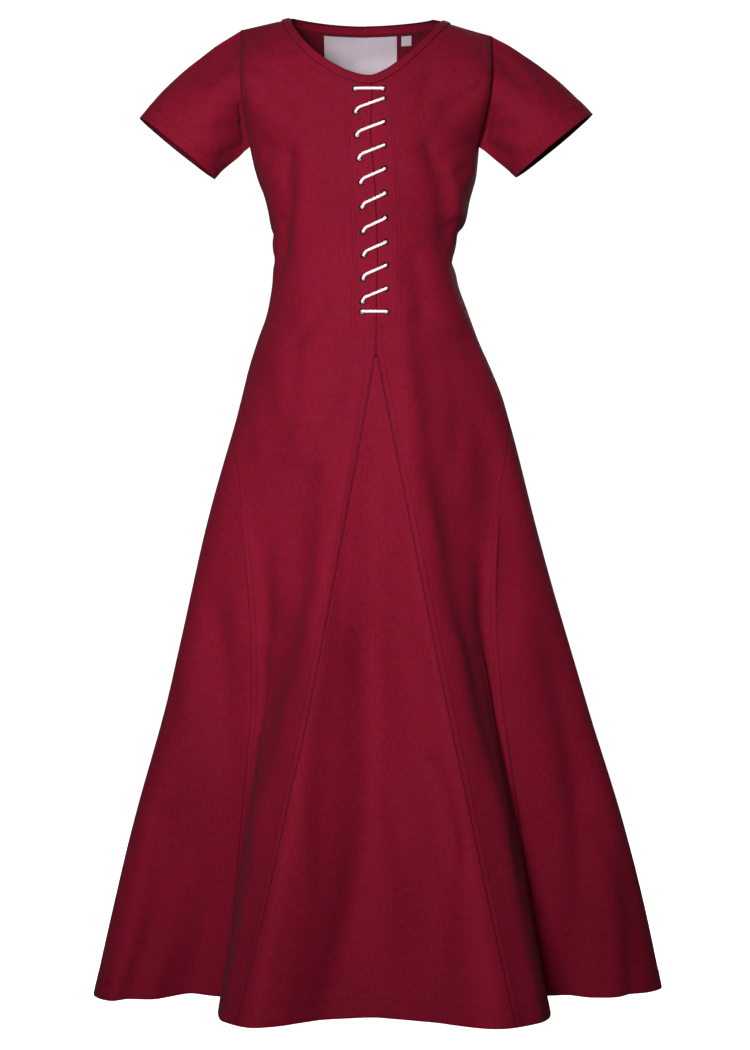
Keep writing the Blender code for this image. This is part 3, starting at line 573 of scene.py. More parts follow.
    def upper_normal(self, angle: Array, lift: Array, side: int) -> Array:
        """Find the outward normals of the upper form.

        Args:
            angle: Each rib's angle, 0 at the centre front.
            lift: From 0 at the armpit to pi/2 at the shoulder.
            side: -1 on the front and 1 on the back.

        Returns:
            One normal for each rib and lift.
        """
        step = 0.01
        after, before = (self.upper_point(angle + move, lift, side) for move in (step, -step))
        above, below = (self.upper_point(angle, lift + move, side) for move in (step, -step))
        return unit(np.cross(after - before, above - below))

    def ring(self, height: float) -> "Ring":
        """Give the ring at a height, made once.

        Args:
            height: The ring's height.

        Returns:
            The ring.
        """
        key = round(height, 6)
        if key not in self.rings:
            self.rings[key] = Ring(self, height)
        return self.rings[key]

    def cloth_of_angle(self, degrees: float) -> float:
        """Find the cloth coordinate of a rib's angle."""
        cloth = np.linspace(0, self.length, self.CLOTH_SAMPLES)
        return float(np.interp(math.radians(degrees), self.angle(cloth), cloth))

    def plain_at(self, x: float, height: float, back: bool) -> Pair:
        """Find the plain form's point and normal on the front or the upper back.

        Args:
            x: Where across.
            height: Where up.
            back: Whether the point is on the back.

        Returns:
            The point and the outward normal, without creases.
        """
        if height <= ARMPIT_HEIGHT:
            ring = self.ring(height)
            cloth = ring.cloth_at_x(x, self.place["left wall"], self.place["right wall"])
            point = self.ring_point(np.array([cloth]), height)
            return point[0], ring.normal_at(np.array([ring.arc_at(cloth)]))[0]
        angles = np.linspace(-math.pi / 2, math.pi / 2, self.RIB_SAMPLES)
        if back:
            angles = math.pi - angles
        side = 1 if back else -1
        _, top_z = self.shoulder_line(angles)
        rise = np.clip((height - ARMPIT_HEIGHT) / (top_z - ARMPIT_HEIGHT), 0, 1)
        lifts = np.arcsin(rise)
        across = self.upper_point(angles, lifts, side)[:, 0]
        angle = np.array([np.interp(x, across, angles)])
        lift = np.array([np.interp(x, across, lifts)])
        return self.upper_point(angle, lift, side)[0], self.upper_normal(angle, lift, side)[0]

    def on_cloth(self, places: Sequence[tuple[float, float]], back: bool = False) -> Pair:
        """Find the creased form's points and normals on the front or the upper back.

        Args:
            places: Where across and where up, one pair for each point.
            back: Whether the points are on the back.

        Returns:
            The points and the outward normals.
        """
        found = [self.plain_at(float(x), float(height), back) for x, height in places]
        points, normals = np.array([p for p, _ in found]), np.array([n for _, n in found])
        return points + normals * relief(points, normals)[:, None], normals

    def at(self, x: float, height: float, back: bool = False) -> tuple[Vector, Vector]:
        """Find one point of the creased form and its normal."""
        points, normals = self.on_cloth([(x, height)], back)
        return Vector(points[0]), Vector(normals[0])


class Ring:
    """One level ring of the form, measured along the cloth."""

    SAMPLES = 3000
    REACH = 1.5 * MM
    RISE = 4 * MM

    def __init__(self, form: WornForm, height: float) -> None:
        """Sample the ring, and a quarter more at each end.

        Args:
            form: The worn form.
            height: The ring's height.
        """
        self.form = form
        self.height = height
        margin = 0.25 * form.length
        self.cloth = np.linspace(-margin, form.length + margin, self.SAMPLES)
        self.points = form.ring_point(self.cloth, height)
        self.arc = lengths_along(self.points)

    def arc_at(self, cloth: float) -> float:
        """Give the distance along the ring of a cloth coordinate."""
        return float(np.interp(cloth, self.cloth, self.arc))

    def cloth_at(self, arc: Array) -> Array:
        """Give the cloth coordinate at a distance along the ring."""
        return np.interp(arc, self.arc, self.cloth)

    def cloth_at_x(self, x: float, first: float, last: float) -> float:
        """Find where the ring crosses x between two cloth coordinates."""
        inside = (self.cloth >= first) & (self.cloth <= last)
        return float(np.interp(x, self.points[inside, 0], self.cloth[inside]))

    def normal_at(self, arc: Array) -> Array:
        """Find the form's outward normals at distances along the ring.

        Args:
            arc: Distances along the ring.

        Returns:
            One normal for each distance.
        """
        after, before = (
            read_along(arc + move, self.arc, self.points) for move in (self.REACH, -self.REACH)
        )
        cloth = self.cloth_at(arc)
        above = min(self.height + self.RISE, ARMPIT_HEIGHT)
        below = max(self.height - self.RISE, HEM_HEIGHT)
        upward = self.form.ring_point(cloth, above) - self.form.ring_point(cloth, below)
        return unit(np.cross(after - before, upward))


def beside_line(
    across: Array, upward: Array, start: tuple[float, float], end: tuple[float, float]
) -> tuple[Array, Array, float]:
    """Measure where places lie along and beside a straight line.

    Args:
        across: Each place's first coordinate.
        upward: Each place's second coordinate.
        start: The line's start.
        end: The line's end.

    Returns:
        The share of the line's length, the distance to its side, and its length.
    """
    way = np.array(end) - np.array(start)
    size = float(np.hypot(*way))
    way = way / size
    off_x, off_z = across - start[0], upward - start[1]
    return (off_x * way[0] + off_z * way[1]) / size, off_x * way[1] - off_z * way[0], size


def crease_depth(face: Face, crease: Crease, points: Array, normals: Array) -> Array:
    """Find how far one crease moves each point along its normal.

    Args:
        face: The face that the crease lies on.
        crease: The crease.
        points: Points of the form.
        normals: Their outward normals.

    Returns:
        The signed distance for each point, in metres.
    """
    facing_axis, sign = face.value
    facing = normals[:, facing_axis] * sign
    start = (crease.across_a * MM, crease.height_a * MM)
    end = (crease.across_b * MM, crease.height_b * MM)
    along, beside, size = beside_line(points[:, 1 - facing_axis], points[:, 2], start, end)
    beside = beside + crease.bow * size * np.sin(np.clip(along, 0, 1) * math.pi)
    fade = ease(along / CREASE_FADE + 0.5)
    if crease.height_b * MM > HEM_HEIGHT:
        fade = fade * ease((1 - along) / CREASE_FADE + 0.5)
    uneven = 1 + CREASE_UNEVENNESS * np.sin(7 * along + crease.across_a)
    shape = bell(beside, crease.width * MM)
    toward = ease(facing * 2.2 - 0.2)
    return crease.depth * MM * shape * fade * uneven * toward


def relief(points: Array, normals: Array) -> Array:
    """Find how far creases and soft waves move points of the form.

    Args:
        points: Points of the form, one a row.
        normals: Their outward normals.

    Returns:
        The signed distance for each point, in metres.
    """
    moved = np.zeros(len(points))
    for face, creases in CREASES.items():
        for crease in creases:
            moved += crease_depth(face, crease, points, normals)
    waves = np.array([noise.noise(Vector(point * WAVE_SCALE)) for point in points])
    return moved + WAVE_DEPTH * waves


# The columns, counted from a felled edge, that its two rows of stitches follow
STITCHED_COLUMNS = (3, 7)
# Where rows of the grid lie beside a hem's stitches
STITCH_ROWS = (-1.2 * MM, 0, 1.2 * MM)


@dataclass
class EdgeFinish:
    """How a panel's edge rises over its felled seam and dips at its stitches, in metres."""

    steps: tuple[float, ...] = tuple(
        x * MM for x in (0, 0.8, 2.0, 2.6, 3.4, 6.0, 8.6, 9.4, 10.2, 13.0)
    )
    felled: bool = False
    roll: float = 1.1 * MM
    roll_width: float = 1.0 * MM
    fell_width: float = 9.4 * MM
    fell_rise: float = 0.5 * MM
    fell_ease: float = 1.6 * MM
    stitch_dip: float = 0.4 * MM
    dip_width: float = 0.7 * MM
    plain_above: float = 1.0
    plain_ease: float = 8 * MM

    def rise(self, distance: Array, height: Array) -> Array:
        """Find the cloth's rise beside the edge.

        Args:
            distance: Distances from the edge.
            height: The heights there.

        Returns:
            The outward move at each place.
        """
        roll = -self.roll * bell(distance, self.roll_width)
        if not self.felled:
            return roll
        step = self.fell_rise * (1 - ease((distance - self.fell_width) / self.fell_ease))
        dips = sum(bell(distance - self.steps[index], self.dip_width) for index in STITCHED_COLUMNS)
        below = 1 - ease((height - self.plain_above) / self.plain_ease)
        return roll + (step - self.stitch_dip * dips) * below


def smooth_mesh(data: bpy.types.Mesh, degrees: float = 40) -> None:
    """Shade a mesh smooth, but for edges sharper than an angle."""
    data.shade_smooth()
    data.set_sharp_from_angle(angle=math.radians(degrees))


def link_object(name: str, data: bpy.types.ID) -> bpy.types.Object:
    """Make an object and link it to the scene.

    Args:
        name: The object's name.
        data: Its mesh, light or camera.

    Returns:
        The object.
    """
    piece = bpy.data.objects.new(name, data)
    bpy.context.scene.collection.objects.link(piece)
    return piece


def finished_mesh(name: str, mesh: bmesh.types.BMesh) -> bpy.types.Mesh:
    """Turn a bmesh into a named mesh and free it.

    Args:
        name: The mesh's name.
        mesh: The bmesh, which is used up.

    Returns:
        The new mesh.
    """
    data = bpy.data.meshes.new(name)
    mesh.to_mesh(data)
    mesh.free()
    return data


def reworked(data: bpy.types.Mesh, *operations: Callable[[bmesh.types.BMesh], object]) -> None:
    """Run bmesh operations on a mesh, in place.

    Args:
        data: The mesh.
        operations: What to do to it, in order.
    """
    mesh = bmesh.new()
    mesh.from_mesh(data)
    for operation in operations:
        operation(mesh)
    mesh.to_mesh(data)
    mesh.free()


def close_seams(mesh: bmesh.types.BMesh) -> None:
    """Merge the vertices that meet at a seam or a pole."""
    bmesh.ops.remove_doubles(mesh, verts=mesh.verts, dist=0.01 * MM)


def face_outward(mesh: bmesh.types.BMesh) -> None:
    """Turn the faces of a closed shell outward."""
    bmesh.ops.recalc_face_normals(mesh, faces=mesh.faces)


def cap_ends(mesh: bmesh.types.BMesh) -> None:
    """Close a tube's two open ends."""
    bmesh.ops.holes_fill(mesh, edges=[edge for edge in mesh.edges if edge.is_boundary], sides=0)


def grid_mesh(
    name: str, points: Array, uvs: Array, edges: Array, closed: bool = False
) -> bpy.types.Mesh:
    """Lay a grid on points, with its cloth coordinates and edge distances.

    Args:
        name: The mesh's name.
        points: Rows by columns of points.
        uvs: Rows by columns of cloth coordinates in metres.
        edges: Rows by columns of distances from the nearest edge.
        closed: Whether the first and last columns meet.

    Returns:
        The mesh, with outward faces where the rows run up and the columns run right.
    """
    rows, columns = points.shape[:2]
    mesh = bmesh.new()
    bmesh.ops.create_grid(mesh, x_segments=columns - 1, y_segments=rows - 1, size=1)
    for vertex, point in zip(mesh.verts, points.reshape(-1, 3)):
        vertex.co = point
    data = finished_mesh(name, mesh)
    corners = np.empty(len(data.loops), np.int32)
    data.loops.foreach_get("vertex_index", corners)
    layer = data.uv_layers.new(name=CLOTH_UV)
    layer.data.foreach_set("uv", uvs.reshape(-1, 2)[corners].astype(np.float32).ravel())
    mask = data.attributes.new(EDGE_MASK, "FLOAT", "POINT")
    mask.data.foreach_set("value", edges.ravel().astype(np.float32))
    if closed:
        reworked(data, close_seams)
    return data


def freeze(piece: bpy.types.Object) -> bpy.types.Object:
    """Apply a piece's modifiers.

    Args:
        piece: The piece.

    Returns:
        The same piece, with its modifiers in its mesh.
    """
    graph = bpy.context.evaluated_depsgraph_get()
    data = bpy.data.meshes.new_from_object(piece.evaluated_get(graph), depsgraph=graph)
    piece.modifiers.clear()
    piece.data = data
    return piece


def thicken(piece: bpy.types.Object, thickness: float) -> None:
    """Give a sheet a wall that runs inward from its face.

    Args:
        piece: The sheet, whose last finish goes on its wrong side.
        thickness: The wall's thickness.
    """
    shell = piece.modifiers.new("wall", "SOLIDIFY")
    shell.thickness = thickness
    shell.offset = -1
    shell.material_offset = len(piece.data.materials) - 1


def filled_later() -> Array:
    """Give a dataclass an array field that its build method fills."""
    return field(default_factory=lambda: np.empty(0))


@dataclass
class BodyPanel:
    """A panel of the body: its lines round each ring and the rows that it runs over."""

    name: str
    lines_at: Callable[[Ring], list[float]]
    columns: int
    top: float
    cut: tuple[float, float]
    cut_area: float
    trims_at: Callable[[Ring], tuple[float, float]] = lambda ring: (SEAM_GAP / 2, SEAM_GAP / 2)
    upper_side: int = 0
    first_edge: EdgeFinish = field(default_factory=EdgeFinish)
    last_edge: EdgeFinish = field(default_factory=EdgeFinish)
    row_step: float = 7.5 * MM
    shoulder_rows: int = 34
    hem_depth: float = 27 * MM
    neck_step: float = 0.06
    # The width, as a multiple of the edge steps' reach, below which they are drawn in
    narrow_width: float = 3.2
    points: Array = filled_later()
    normals: Array = filled_later()

    def heights(self) -> list[float]:
        """List the heights of the rows, denser at the hem's stitching.

        Returns:
            The heights, from the hem up.
        """
        rows = int(round((self.top - HEM_HEIGHT) / self.row_step))
        heights = set(np.round(np.linspace(HEM_HEIGHT, self.top, rows + 1), 6))
        stitched = HEM_HEIGHT + self.hem_depth
        heights = {h for h in heights if abs(h - stitched) > 3 * MM or h == HEM_HEIGHT}
        extra = [HEM_HEIGHT + x * MM for x in (1, 2.5)]
        extra += [stitched + step for step in STITCH_ROWS]
        for apex in (FRONT_APEX_HEIGHT, SIDE_APEX_HEIGHT, SLIT_BOTTOM):
            if apex < self.top:
                extra += [apex, apex + 3 * MM]
        return sorted(heights | {round(float(x), 6) for x in extra})

    def places(self, width: float) -> Array:
        """Spread the columns over a width, denser at both edges.

        Args:
            width: The panel's width at a row.

        Returns:
            Each column's distance from the first edge.
        """
        steps = np.array(self.first_edge.steps)
        steps = steps * min(1.0, width / (self.narrow_width * steps[-1]))
        inner = np.linspace(steps[-1], width - steps[-1], self.columns - 2 * len(steps) + 2)[1:-1]
        return np.concatenate([steps, inner, width - steps[::-1]])

    def build(self, form: WornForm) -> bpy.types.Mesh:
        """Build the creased sheet.

        Args:
            form: The worn form.

        Returns:
            The sheet's mesh, which has no thickness yet.
        """
        points, normals, uvs, edges = [], [], [], []
        for height in self.heights():
            ring = form.ring(height)
            lines = self.lines_at(ring)
            trims = self.trims_at(ring)
            first = ring.arc_at(lines[0]) + trims[0]
            last = ring.arc_at(lines[1]) - trims[1]
            offsets = self.places(last - first)
            cloth = ring.cloth_at(first + offsets)
            points.append(form.ring_point(cloth, height))
            normals.append(ring.normal_at(first + offsets))
            middle = ring.arc_at(self.middle(ring))
            uvs.append(np.stack([first + offsets - middle, np.full(len(offsets), height)], -1))
            edges.append(offsets)
        if self.upper_side:
            angles = form.angle(np.mod(cloth, form.length))
            tops = self.tops(form, angles)
            up = uvs[-1].copy()
            for index in range(1, self.shoulder_rows + 1):
                lifts = tops * index / self.shoulder_rows
                row = form.upper_point(angles, lifts, self.upper_side)
                up = up + [[0, 1]] * np.linalg.norm(row - points[-1], axis=1)[:, None]
                points.append(row)
                normals.append(form.upper_normal(angles, lifts, self.upper_side))
                uvs.append(up.copy())
                edges.append(offsets)
        self.points = np.array(points)
        self.normals = np.array(normals)
        self.displace(np.array(edges))
        return self.sheet_mesh(np.array(uvs), np.array(edges))

    def tops(self, form: WornForm, angles: Array) -> Array:
        """Find how high each rib of the upper panel runs: to the shoulder, or under the neck band.

        Neighbours differ by no more than a small step, as far as the band still hides the
        cloth, so that no hole opens beside it.

        Args:
            form: The worn form.
            angles: Each rib's angle.

        Returns:
            Each rib's lift at its top.
        """
        halves = [LEFT_NECK if math.sin(angle) < 0 else RIGHT_NECK for angle in angles]
        tops, most = (
            np.array([neck_lift(form, a, h, grown, self.upper_side) for a, h in zip(angles, halves)])
            for grown in (BAND_WIDTH + SEAM_GAP, HIDDEN_BAND_WIDTH)
        )
        tops = np.where(most >= math.pi / 2, most, tops)
        rising, falling = range(1, len(tops)), range(len(tops) - 2, -1, -1)
        for order, beside in ((rising, -1), (falling, 1)):
            for index in order:
                near = tops[index + beside] - self.neck_step
                tops[index] = max(tops[index], min(near, most[index]))
        return tops

    def middle(self, ring: Ring) -> float:
        """Give the cloth coordinate that the weave is measured from."""
        return sum(self.lines_at(ring)) / 2 if self.upper_side <= 0 else 0.0

    def displace(self, edges: Array) -> None:
        """Move the points by creases, seams, puckers and the hem's stitching.

        Args:
            edges: Rows by columns of distances from the first edge.
        """
        shape = self.points.shape[:2]
        flat, normal = self.points.reshape(-1, 3), self.normals.reshape(-1, 3)
        moved = relief(flat, normal).reshape(shape)
        width = edges[:, -1:]
        from_first, from_last = edges, width - edges
        heights = self.points[..., 2]
        moved += self.first_edge.rise(from_first, heights) + self.last_edge.rise(from_last, heights)
        near = bell(from_first, PUCKER_REACH) + bell(from_last, PUCKER_REACH)
        above_hem = heights - HEM_HEIGHT
        near_hem = bell(above_hem - self.hem_depth, HEM_PUCKER_REACH)
        grain = np.array([noise.noise(Vector(p * PUCKER_SCALE)) for p in flat]).reshape(shape)
        moved += 2 * PUCKER_DEPTH * grain * np.clip(near + near_hem, 0, 1)
        moved += turned_seam(above_hem, self.hem_depth)
        moved -= HEM_ROLL * bell(above_hem, HEM_ROLL_WIDTH)
        self.points = self.points + self.normals * moved[..., None]

    def sheet_mesh(self, uvs: Array, edges: Array) -> bpy.types.Mesh:
        """Lay the grid on the displaced points."""
        nearest = np.minimum(edges, edges[:, -1:] - edges)
        return grid_mesh(self.name, self.points, uvs, nearest)

    def column(self, index: int) -> Pair:
        """Give one column's points and normals, from the hem up."""
        return self.points[:, index], self.normals[:, index]

    def hem_row(self) -> Pair:
        """Give the row of the hem's stitching."""
        index = int(np.argmin(np.abs(self.points[:, 0, 2] - HEM_HEIGHT - self.hem_depth)))
        return self.points[index], self.normals[index]


def neck_drop(x: Array, half: NeckHalf, grown: float, back: bool) -> Array:
    """Find the height of the neckline at x.

    Args:
        x: Where across.
        half: The half of the neckline.
        grown: How far outside the band's inner edge the line is.
        back: Whether the line is the back one.

    Returns:
        The height there.
    """
    width = abs(half.end_x - NECK_POINT_X) + grown
    part = np.clip(np.abs(x - NECK_POINT_X) / width, 0, 1)
    end_z = half.end_z - NECK_END_FALL * grown
    if back:
        return end_z + (BACK_NECK_Z - grown - end_z) * (1 - part**BACK_NECK_POWER) ** 0.5
    low = NECK_POINT_Z - NECK_POINT_FALL * grown
    return end_z + (low - end_z) * (1 - part**half.width_power) ** (1 / half.drop_power)


def neck_lift(form: WornForm, angle: float, half: NeckHalf, grown: float, side: int) -> float:
    """Find the lift where a rib of the upper form meets the neckline.

    Args:
        form: The worn form.
        angle: The rib's angle.
        half: The half of the neckline.
        grown: How far outside the band's inner edge the line is.
        side: -1 on the front and 1 on the back.

    Returns:
        The lift, pi/2 outside the neck.
    """
    lifts = np.linspace(0, math.pi / 2, LIFT_SAMPLES)
    points = form.upper_point(np.full(LIFT_SAMPLES, angle), lifts, side)
    above = points[:, 2] - neck_drop(points[:, 0], half, grown, side > 0)
    outside = abs(points[-1, 0]) >= abs(half.end_x) + grown - 1e-6
    crossings = np.nonzero(above > 0)[0]
    if outside or len(crossings) == 0 or crossings[0] == 0:
        return math.pi / 2
    index = crossings[0]
    part = -above[index - 1] / (above[index] - above[index - 1])
    return float(lifts[index - 1] + part * (lifts[index] - lifts[index - 1]))


class Shader:
    """A short way to build a material's or a group's nodes."""

    # The Mix node's sockets for colours
    MIX_INPUTS = (0, 6, 7)
    MIX_OUTPUT = 2

    def __init__(self, tree: bpy.types.NodeTree) -> None:
        """Work on one node tree."""
        self.tree = tree

    def node(
        self, kind: str, inputs: dict[str, object] | None = None, **settings: object
    ) -> bpy.types.Node:
        """Add a node.

        Args:
            kind: The node's type.
            inputs: What its sockets are fed with, by name.
            settings: Its properties, by name.

        Returns:
            The node.
        """
        made = self.tree.nodes.new(kind)
        for name, value in settings.items():
            setattr(made, name, value)
        for name, value in (inputs or {}).items():
            self.feed(value, made.inputs[name])
        return made

    def join(self, source: Socket, target: Socket) -> None:
        """Link two sockets."""
        self.tree.links.new(source, target)

    def feed(self, value: object, target: Socket) -> None:
        """Give a socket a link or a plain value.

        Args:
            value: A socket, or a number or colour.
            target: The socket that takes it.
        """
        if isinstance(value, Socket):
            self.join(value, target)
        else:
            target.default_value = value

    def math(self, operation: str, *values: object) -> Socket:
        """Add a math node on sockets or numbers.

        Args:
            operation: The node's operation.
            values: Its inputs, sockets or numbers.

        Returns:
            The node's output.
        """
        made = self.node("ShaderNodeMath", operation=operation)
        for socket, value in zip(made.inputs, values):
            self.feed(value, socket)
        return made.outputs[0]

    def noise(self, vector: Socket, scale: float, detail: float = 2) -> Socket:
        """Add a noise texture.

        Args:
            vector: Where to read it.
            scale: Its scale.
            detail: Its detail.

        Returns:
            Its value.
        """
        inputs = {"Scale": scale, "Detail": detail, "Vector": vector}
        return self.node("ShaderNodeTexNoise", inputs).outputs["Fac"]

    def scaled(self, vector: Socket, scale: tuple[float, float, float]) -> Socket:
        """Scale a vector by a mapping node.

        Args:
            vector: The vector.
            scale: Its scale on each axis.

        Returns:
            The scaled vector.
        """
        inputs = {"Scale": scale, "Vector": vector}
        return self.node("ShaderNodeMapping", inputs).outputs["Vector"]

    def mix(self, share: object, first: object, second: object, blend: str = "MIX") -> Socket:
        """Mix two colours.

        Args:
            share: The second's share.
            first: A colour or socket.
            second: A colour or socket.
            blend: The way they blend.

        Returns:
            The mixed colour.
        """
        made = self.node("ShaderNodeMix", data_type="RGBA", blend_type=blend)
        for socket, value in zip(self.MIX_INPUTS, (share, first, second)):
            self.feed(value, made.inputs[socket])
        return made.outputs[self.MIX_OUTPUT]

    def ramp(self, value: Socket, low: float, high: float) -> Socket:
        """Map a value from a span to 0 to 1.

        Args:
            value: The value.
            low: Where the result is 0.
            high: Where the result is 1.

        Returns:
            The mapped value.
        """
        inputs = {"From Min": low, "From Max": high, "Value": value}
        return self.node("ShaderNodeMapRange", inputs).outputs["Result"]


class SurfaceShader(Shader):
    """A new material's nodes, with the steps that all the fabrics share."""

    def __init__(self, name: str) -> None:
        """Start the material."""
        material = bpy.data.materials.new(name)
        material.use_nodes = True
        super().__init__(material.node_tree)
        self.surface = self.tree.nodes["Principled BSDF"]

    def give(self, **values: object) -> None:
        """Feed the surface's sockets, named with their spaces as underscores."""
        for name, value in values.items():
            self.feed(value, self.surface.inputs[name.replace("_", " ")])

    def solid_place(self) -> Socket:
        """Read the place in the dress's own space."""
        return self.node("ShaderNodeTexCoord").outputs["Object"]

    def cloth_place(self) -> Socket:
        """Read the place on the cloth."""
        return self.node("ShaderNodeUVMap", uv_map=CLOTH_UV).outputs["UV"]

    def weave(self, place: Socket, pitch: float, slub: float) -> bpy.types.Node:
        """Add the plain weave.

        Args:
            place: The place on the cloth.
            pitch: The threads' spacing.
            slub: How uneven the threads are.

        Returns:
            The group's node.
        """
        inputs = {"Pitch": pitch, "Slub": slub, "Vector": place}
        return self.node("ShaderNodeGroup", inputs, node_tree=weave_group())

    def bump(self, height: Socket, strength: float, distance: float) -> None:
        """Raise the surface by a height.

        Args:
            height: The height, as a value.
            strength: How much of it shows.
            distance: How far a height of 1 rises.
        """
        inputs = {"Strength": strength, "Distance": distance, "Height": height}
        self.give(Normal=self.node("ShaderNodeBump", inputs).outputs["Normal"])


def weave_group() -> bpy.types.NodeTree:
    """Build the plain weave that cloth, label and lace share.

    Returns:
        A group with Vector, Pitch and Slub in, and Height and a shade tone out; the tone is darker where
        the weave lies low, which paints shade in its hollows.
    """
    if "plain_weave" in bpy.data.node_groups:
        return bpy.data.node_groups["plain_weave"]
    tree = bpy.data.node_groups.new("plain_weave", "ShaderNodeTree")
    for name, kind in (("Vector", "Vector"), ("Pitch", "Float"), ("Slub", "Float")):
        tree.interface.new_socket(name=name, in_out="INPUT", socket_type="NodeSocket" + kind)
    for name in ("Height", "Tone"):
        tree.interface.new_socket(name=name, in_out="OUTPUT", socket_type="NodeSocketFloat")
    shader = Shader(tree)
    given = shader.node("NodeGroupInput")
    result = shader.node("NodeGroupOutput")
    wobble = shader.noise(shader.scaled(given.outputs["Vector"], (1, 0.25, 1)), 260, 1)
    parts = shader.node("ShaderNodeSeparateXYZ")
    shader.join(given.outputs["Vector"], parts.inputs[0])
    threads = []
    for axis in range(2):
        count = shader.math("DIVIDE", parts.outputs[axis], given.outputs["Pitch"])
        count = shader.math("ADD", count, shader.math("MULTIPLY", wobble, 1.2))
        threads.append(shader.math("SINE", shader.math("MULTIPLY", count, math.pi)))
    over = shader.math("MULTIPLY", threads[0], threads[1])
    warp = shader.noise(shader.scaled(given.outputs["Vector"], (1, 0.04, 1)), 900, 2)
    weft = shader.noise(shader.scaled(given.outputs["Vector"], (0.04, 1, 1)), 900, 2)
    slub = shader.math("MULTIPLY", shader.math("ADD", warp, weft), given.outputs["Slub"])
    height = shader.math("ADD", shader.math("MULTIPLY_ADD", over, 0.5, 0.5), slub)
    shader.join(height, result.inputs["Height"])
    # Darker where the threads lie low and lighter where they cross over: painted shade in the weave's
    # hollows
    shader.join(shader.math("MULTIPLY_ADD", height, 0.5, 0.0), result.inputs["Tone"])
    return tree


class Finish:
    """A surface's look, whose material is built once."""

    name: str

    def material(self) -> bpy.types.Material:
        """Give the material, built at the first call.

        Returns:
            The material.
        """
        if self.name not in bpy.data.materials:
            self.paint(SurfaceShader(self.name))
        return bpy.data.materials[self.name]

    def paint(self, shader: SurfaceShader) -> None:
        """Build the material's nodes.

        Args:
            shader: The new material's shader.
        """
        raise NotImplementedError


@dataclass(frozen=True)
class ClothFinish(Finish):
    """Matt cotton canvas: colours, weave pitch and sheen."""

    name: str = "wine_canvas"
    deep: Colour = (0.118, 0.0012, 0.0085, 1)
    full: Colour = (0.222, 0.0038, 0.0185, 1)
    worn: Colour = (0.250, 0.0090, 0.0270, 1)
    cool: Colour = (0.165, 0.0045, 0.0290, 1)
    # Near black, mixed in within about a millimetre of every sewn edge: painted shade in the seam grooves
    seam_shadow: Colour = (0.035, 0.0005, 0.0028, 1)
    pitch: float = 0.75 * MM
    slub: float = 0.9
    roughness: float = 0.82
    gloss: float = 0.11
    sheen: float = 0.015
    sheen_roughness: float = 0.45
    sheen_tint: Colour = (0.95, 0.50, 0.66, 1)
    bump: float = 0.55
    bump_height: float = 0.35 * MM

    def paint(self, shader: SurfaceShader) -> None:
        """Build the canvas, which reads the cloth coordinates and the edge mask.

        Args:
            shader: The new material's shader.
        """
        shader.give(
            Sheen_Weight=self.sheen, Sheen_Roughness=self.sheen_roughness,
            Sheen_Tint=self.sheen_tint, Specular_IOR_Level=self.gloss,
        )
        place = shader.cloth_place()
        weave = shader.weave(place, self.pitch, self.slub)
        broad = shader.noise(shader.scaled(shader.solid_place(), (1, 1, 0.45)), 9, 3)
        fine = shader.noise(shader.scaled(place, (1, 0.35, 1)), 320, 3)
        tone = shader.math("MULTIPLY_ADD", broad, 0.9, -0.05)
        tone = shader.math("ADD", tone, shader.math("MULTIPLY_ADD", fine, 1.5, -0.75))
        # The weave's painted shade in its hollows darkens the canvas here
        tone = shader.math("ADD", tone, shader.math("MULTIPLY_ADD", weave.outputs["Tone"], 0.35, -0.2))
        colour = shader.mix(shader.ramp(tone, 0.0, 0.9), self.deep, self.full)
        mottle = shader.ramp(shader.noise(place, 55, 4), 0.35, 0.75)
        colour = shader.mix(shader.math("MULTIPLY", mottle, 0.4), colour, self.cool)
        edge = shader.node("ShaderNodeAttribute", attribute_name=EDGE_MASK).outputs["Fac"]
        rubbed = shader.math("SUBTRACT", 1.0, shader.ramp(edge, 0.4 * MM, 1.6 * MM))
        # Within about a millimetre of a sewn edge the colour goes near black: painted shade in the seam's
        # groove
        seam = shader.math("SUBTRACT", 1.0, shader.ramp(edge, 0.4 * MM, 1.2 * MM))
        colour = shader.mix(shader.math("MULTIPLY", rubbed, 0.15), colour, self.worn)
        colour = shader.mix(shader.math("MULTIPLY", seam, 0.9), colour, self.seam_shadow)
        rough = shader.math("MULTIPLY_ADD", fine, 0.2, self.roughness - 0.1)
        shader.give(Base_Color=colour, Roughness=rough)
        lumps = shader.math("MULTIPLY_ADD", fine, 1.6, weave.outputs["Height"])
        shader.bump(lumps, self.bump, self.bump_height)


@dataclass(frozen=True)
class ThreadFinish(Finish):
    """Twisted sewing thread."""

    name: str = "wine_thread"
    # The thread's own wine tone, set well below the cloth's so that it also paints the shade in the
    # stitches' dips
    light: Colour = (0.075, 0.0013, 0.0060, 1)
    dark: Colour = (0.038, 0.0006, 0.0030, 1)
    roughness: float = 0.7
    gloss: float = 0.1
    twist: float = 2600.0
    bump: float = 0.4
    bump_height: float = 0.1 * MM

    def paint(self, shader: SurfaceShader) -> None:
        """Build the thread, which reads the place in the dress's own space.

        Args:
            shader: The new material's shader.
        """
        strands = shader.noise(shader.solid_place(), self.twist, 1)
        colour = shader.mix(strands, self.dark, self.light)
        shader.give(Base_Color=colour, Roughness=self.roughness, Specular_IOR_Level=self.gloss)
        shader.bump(strands, self.bump, self.bump_height)


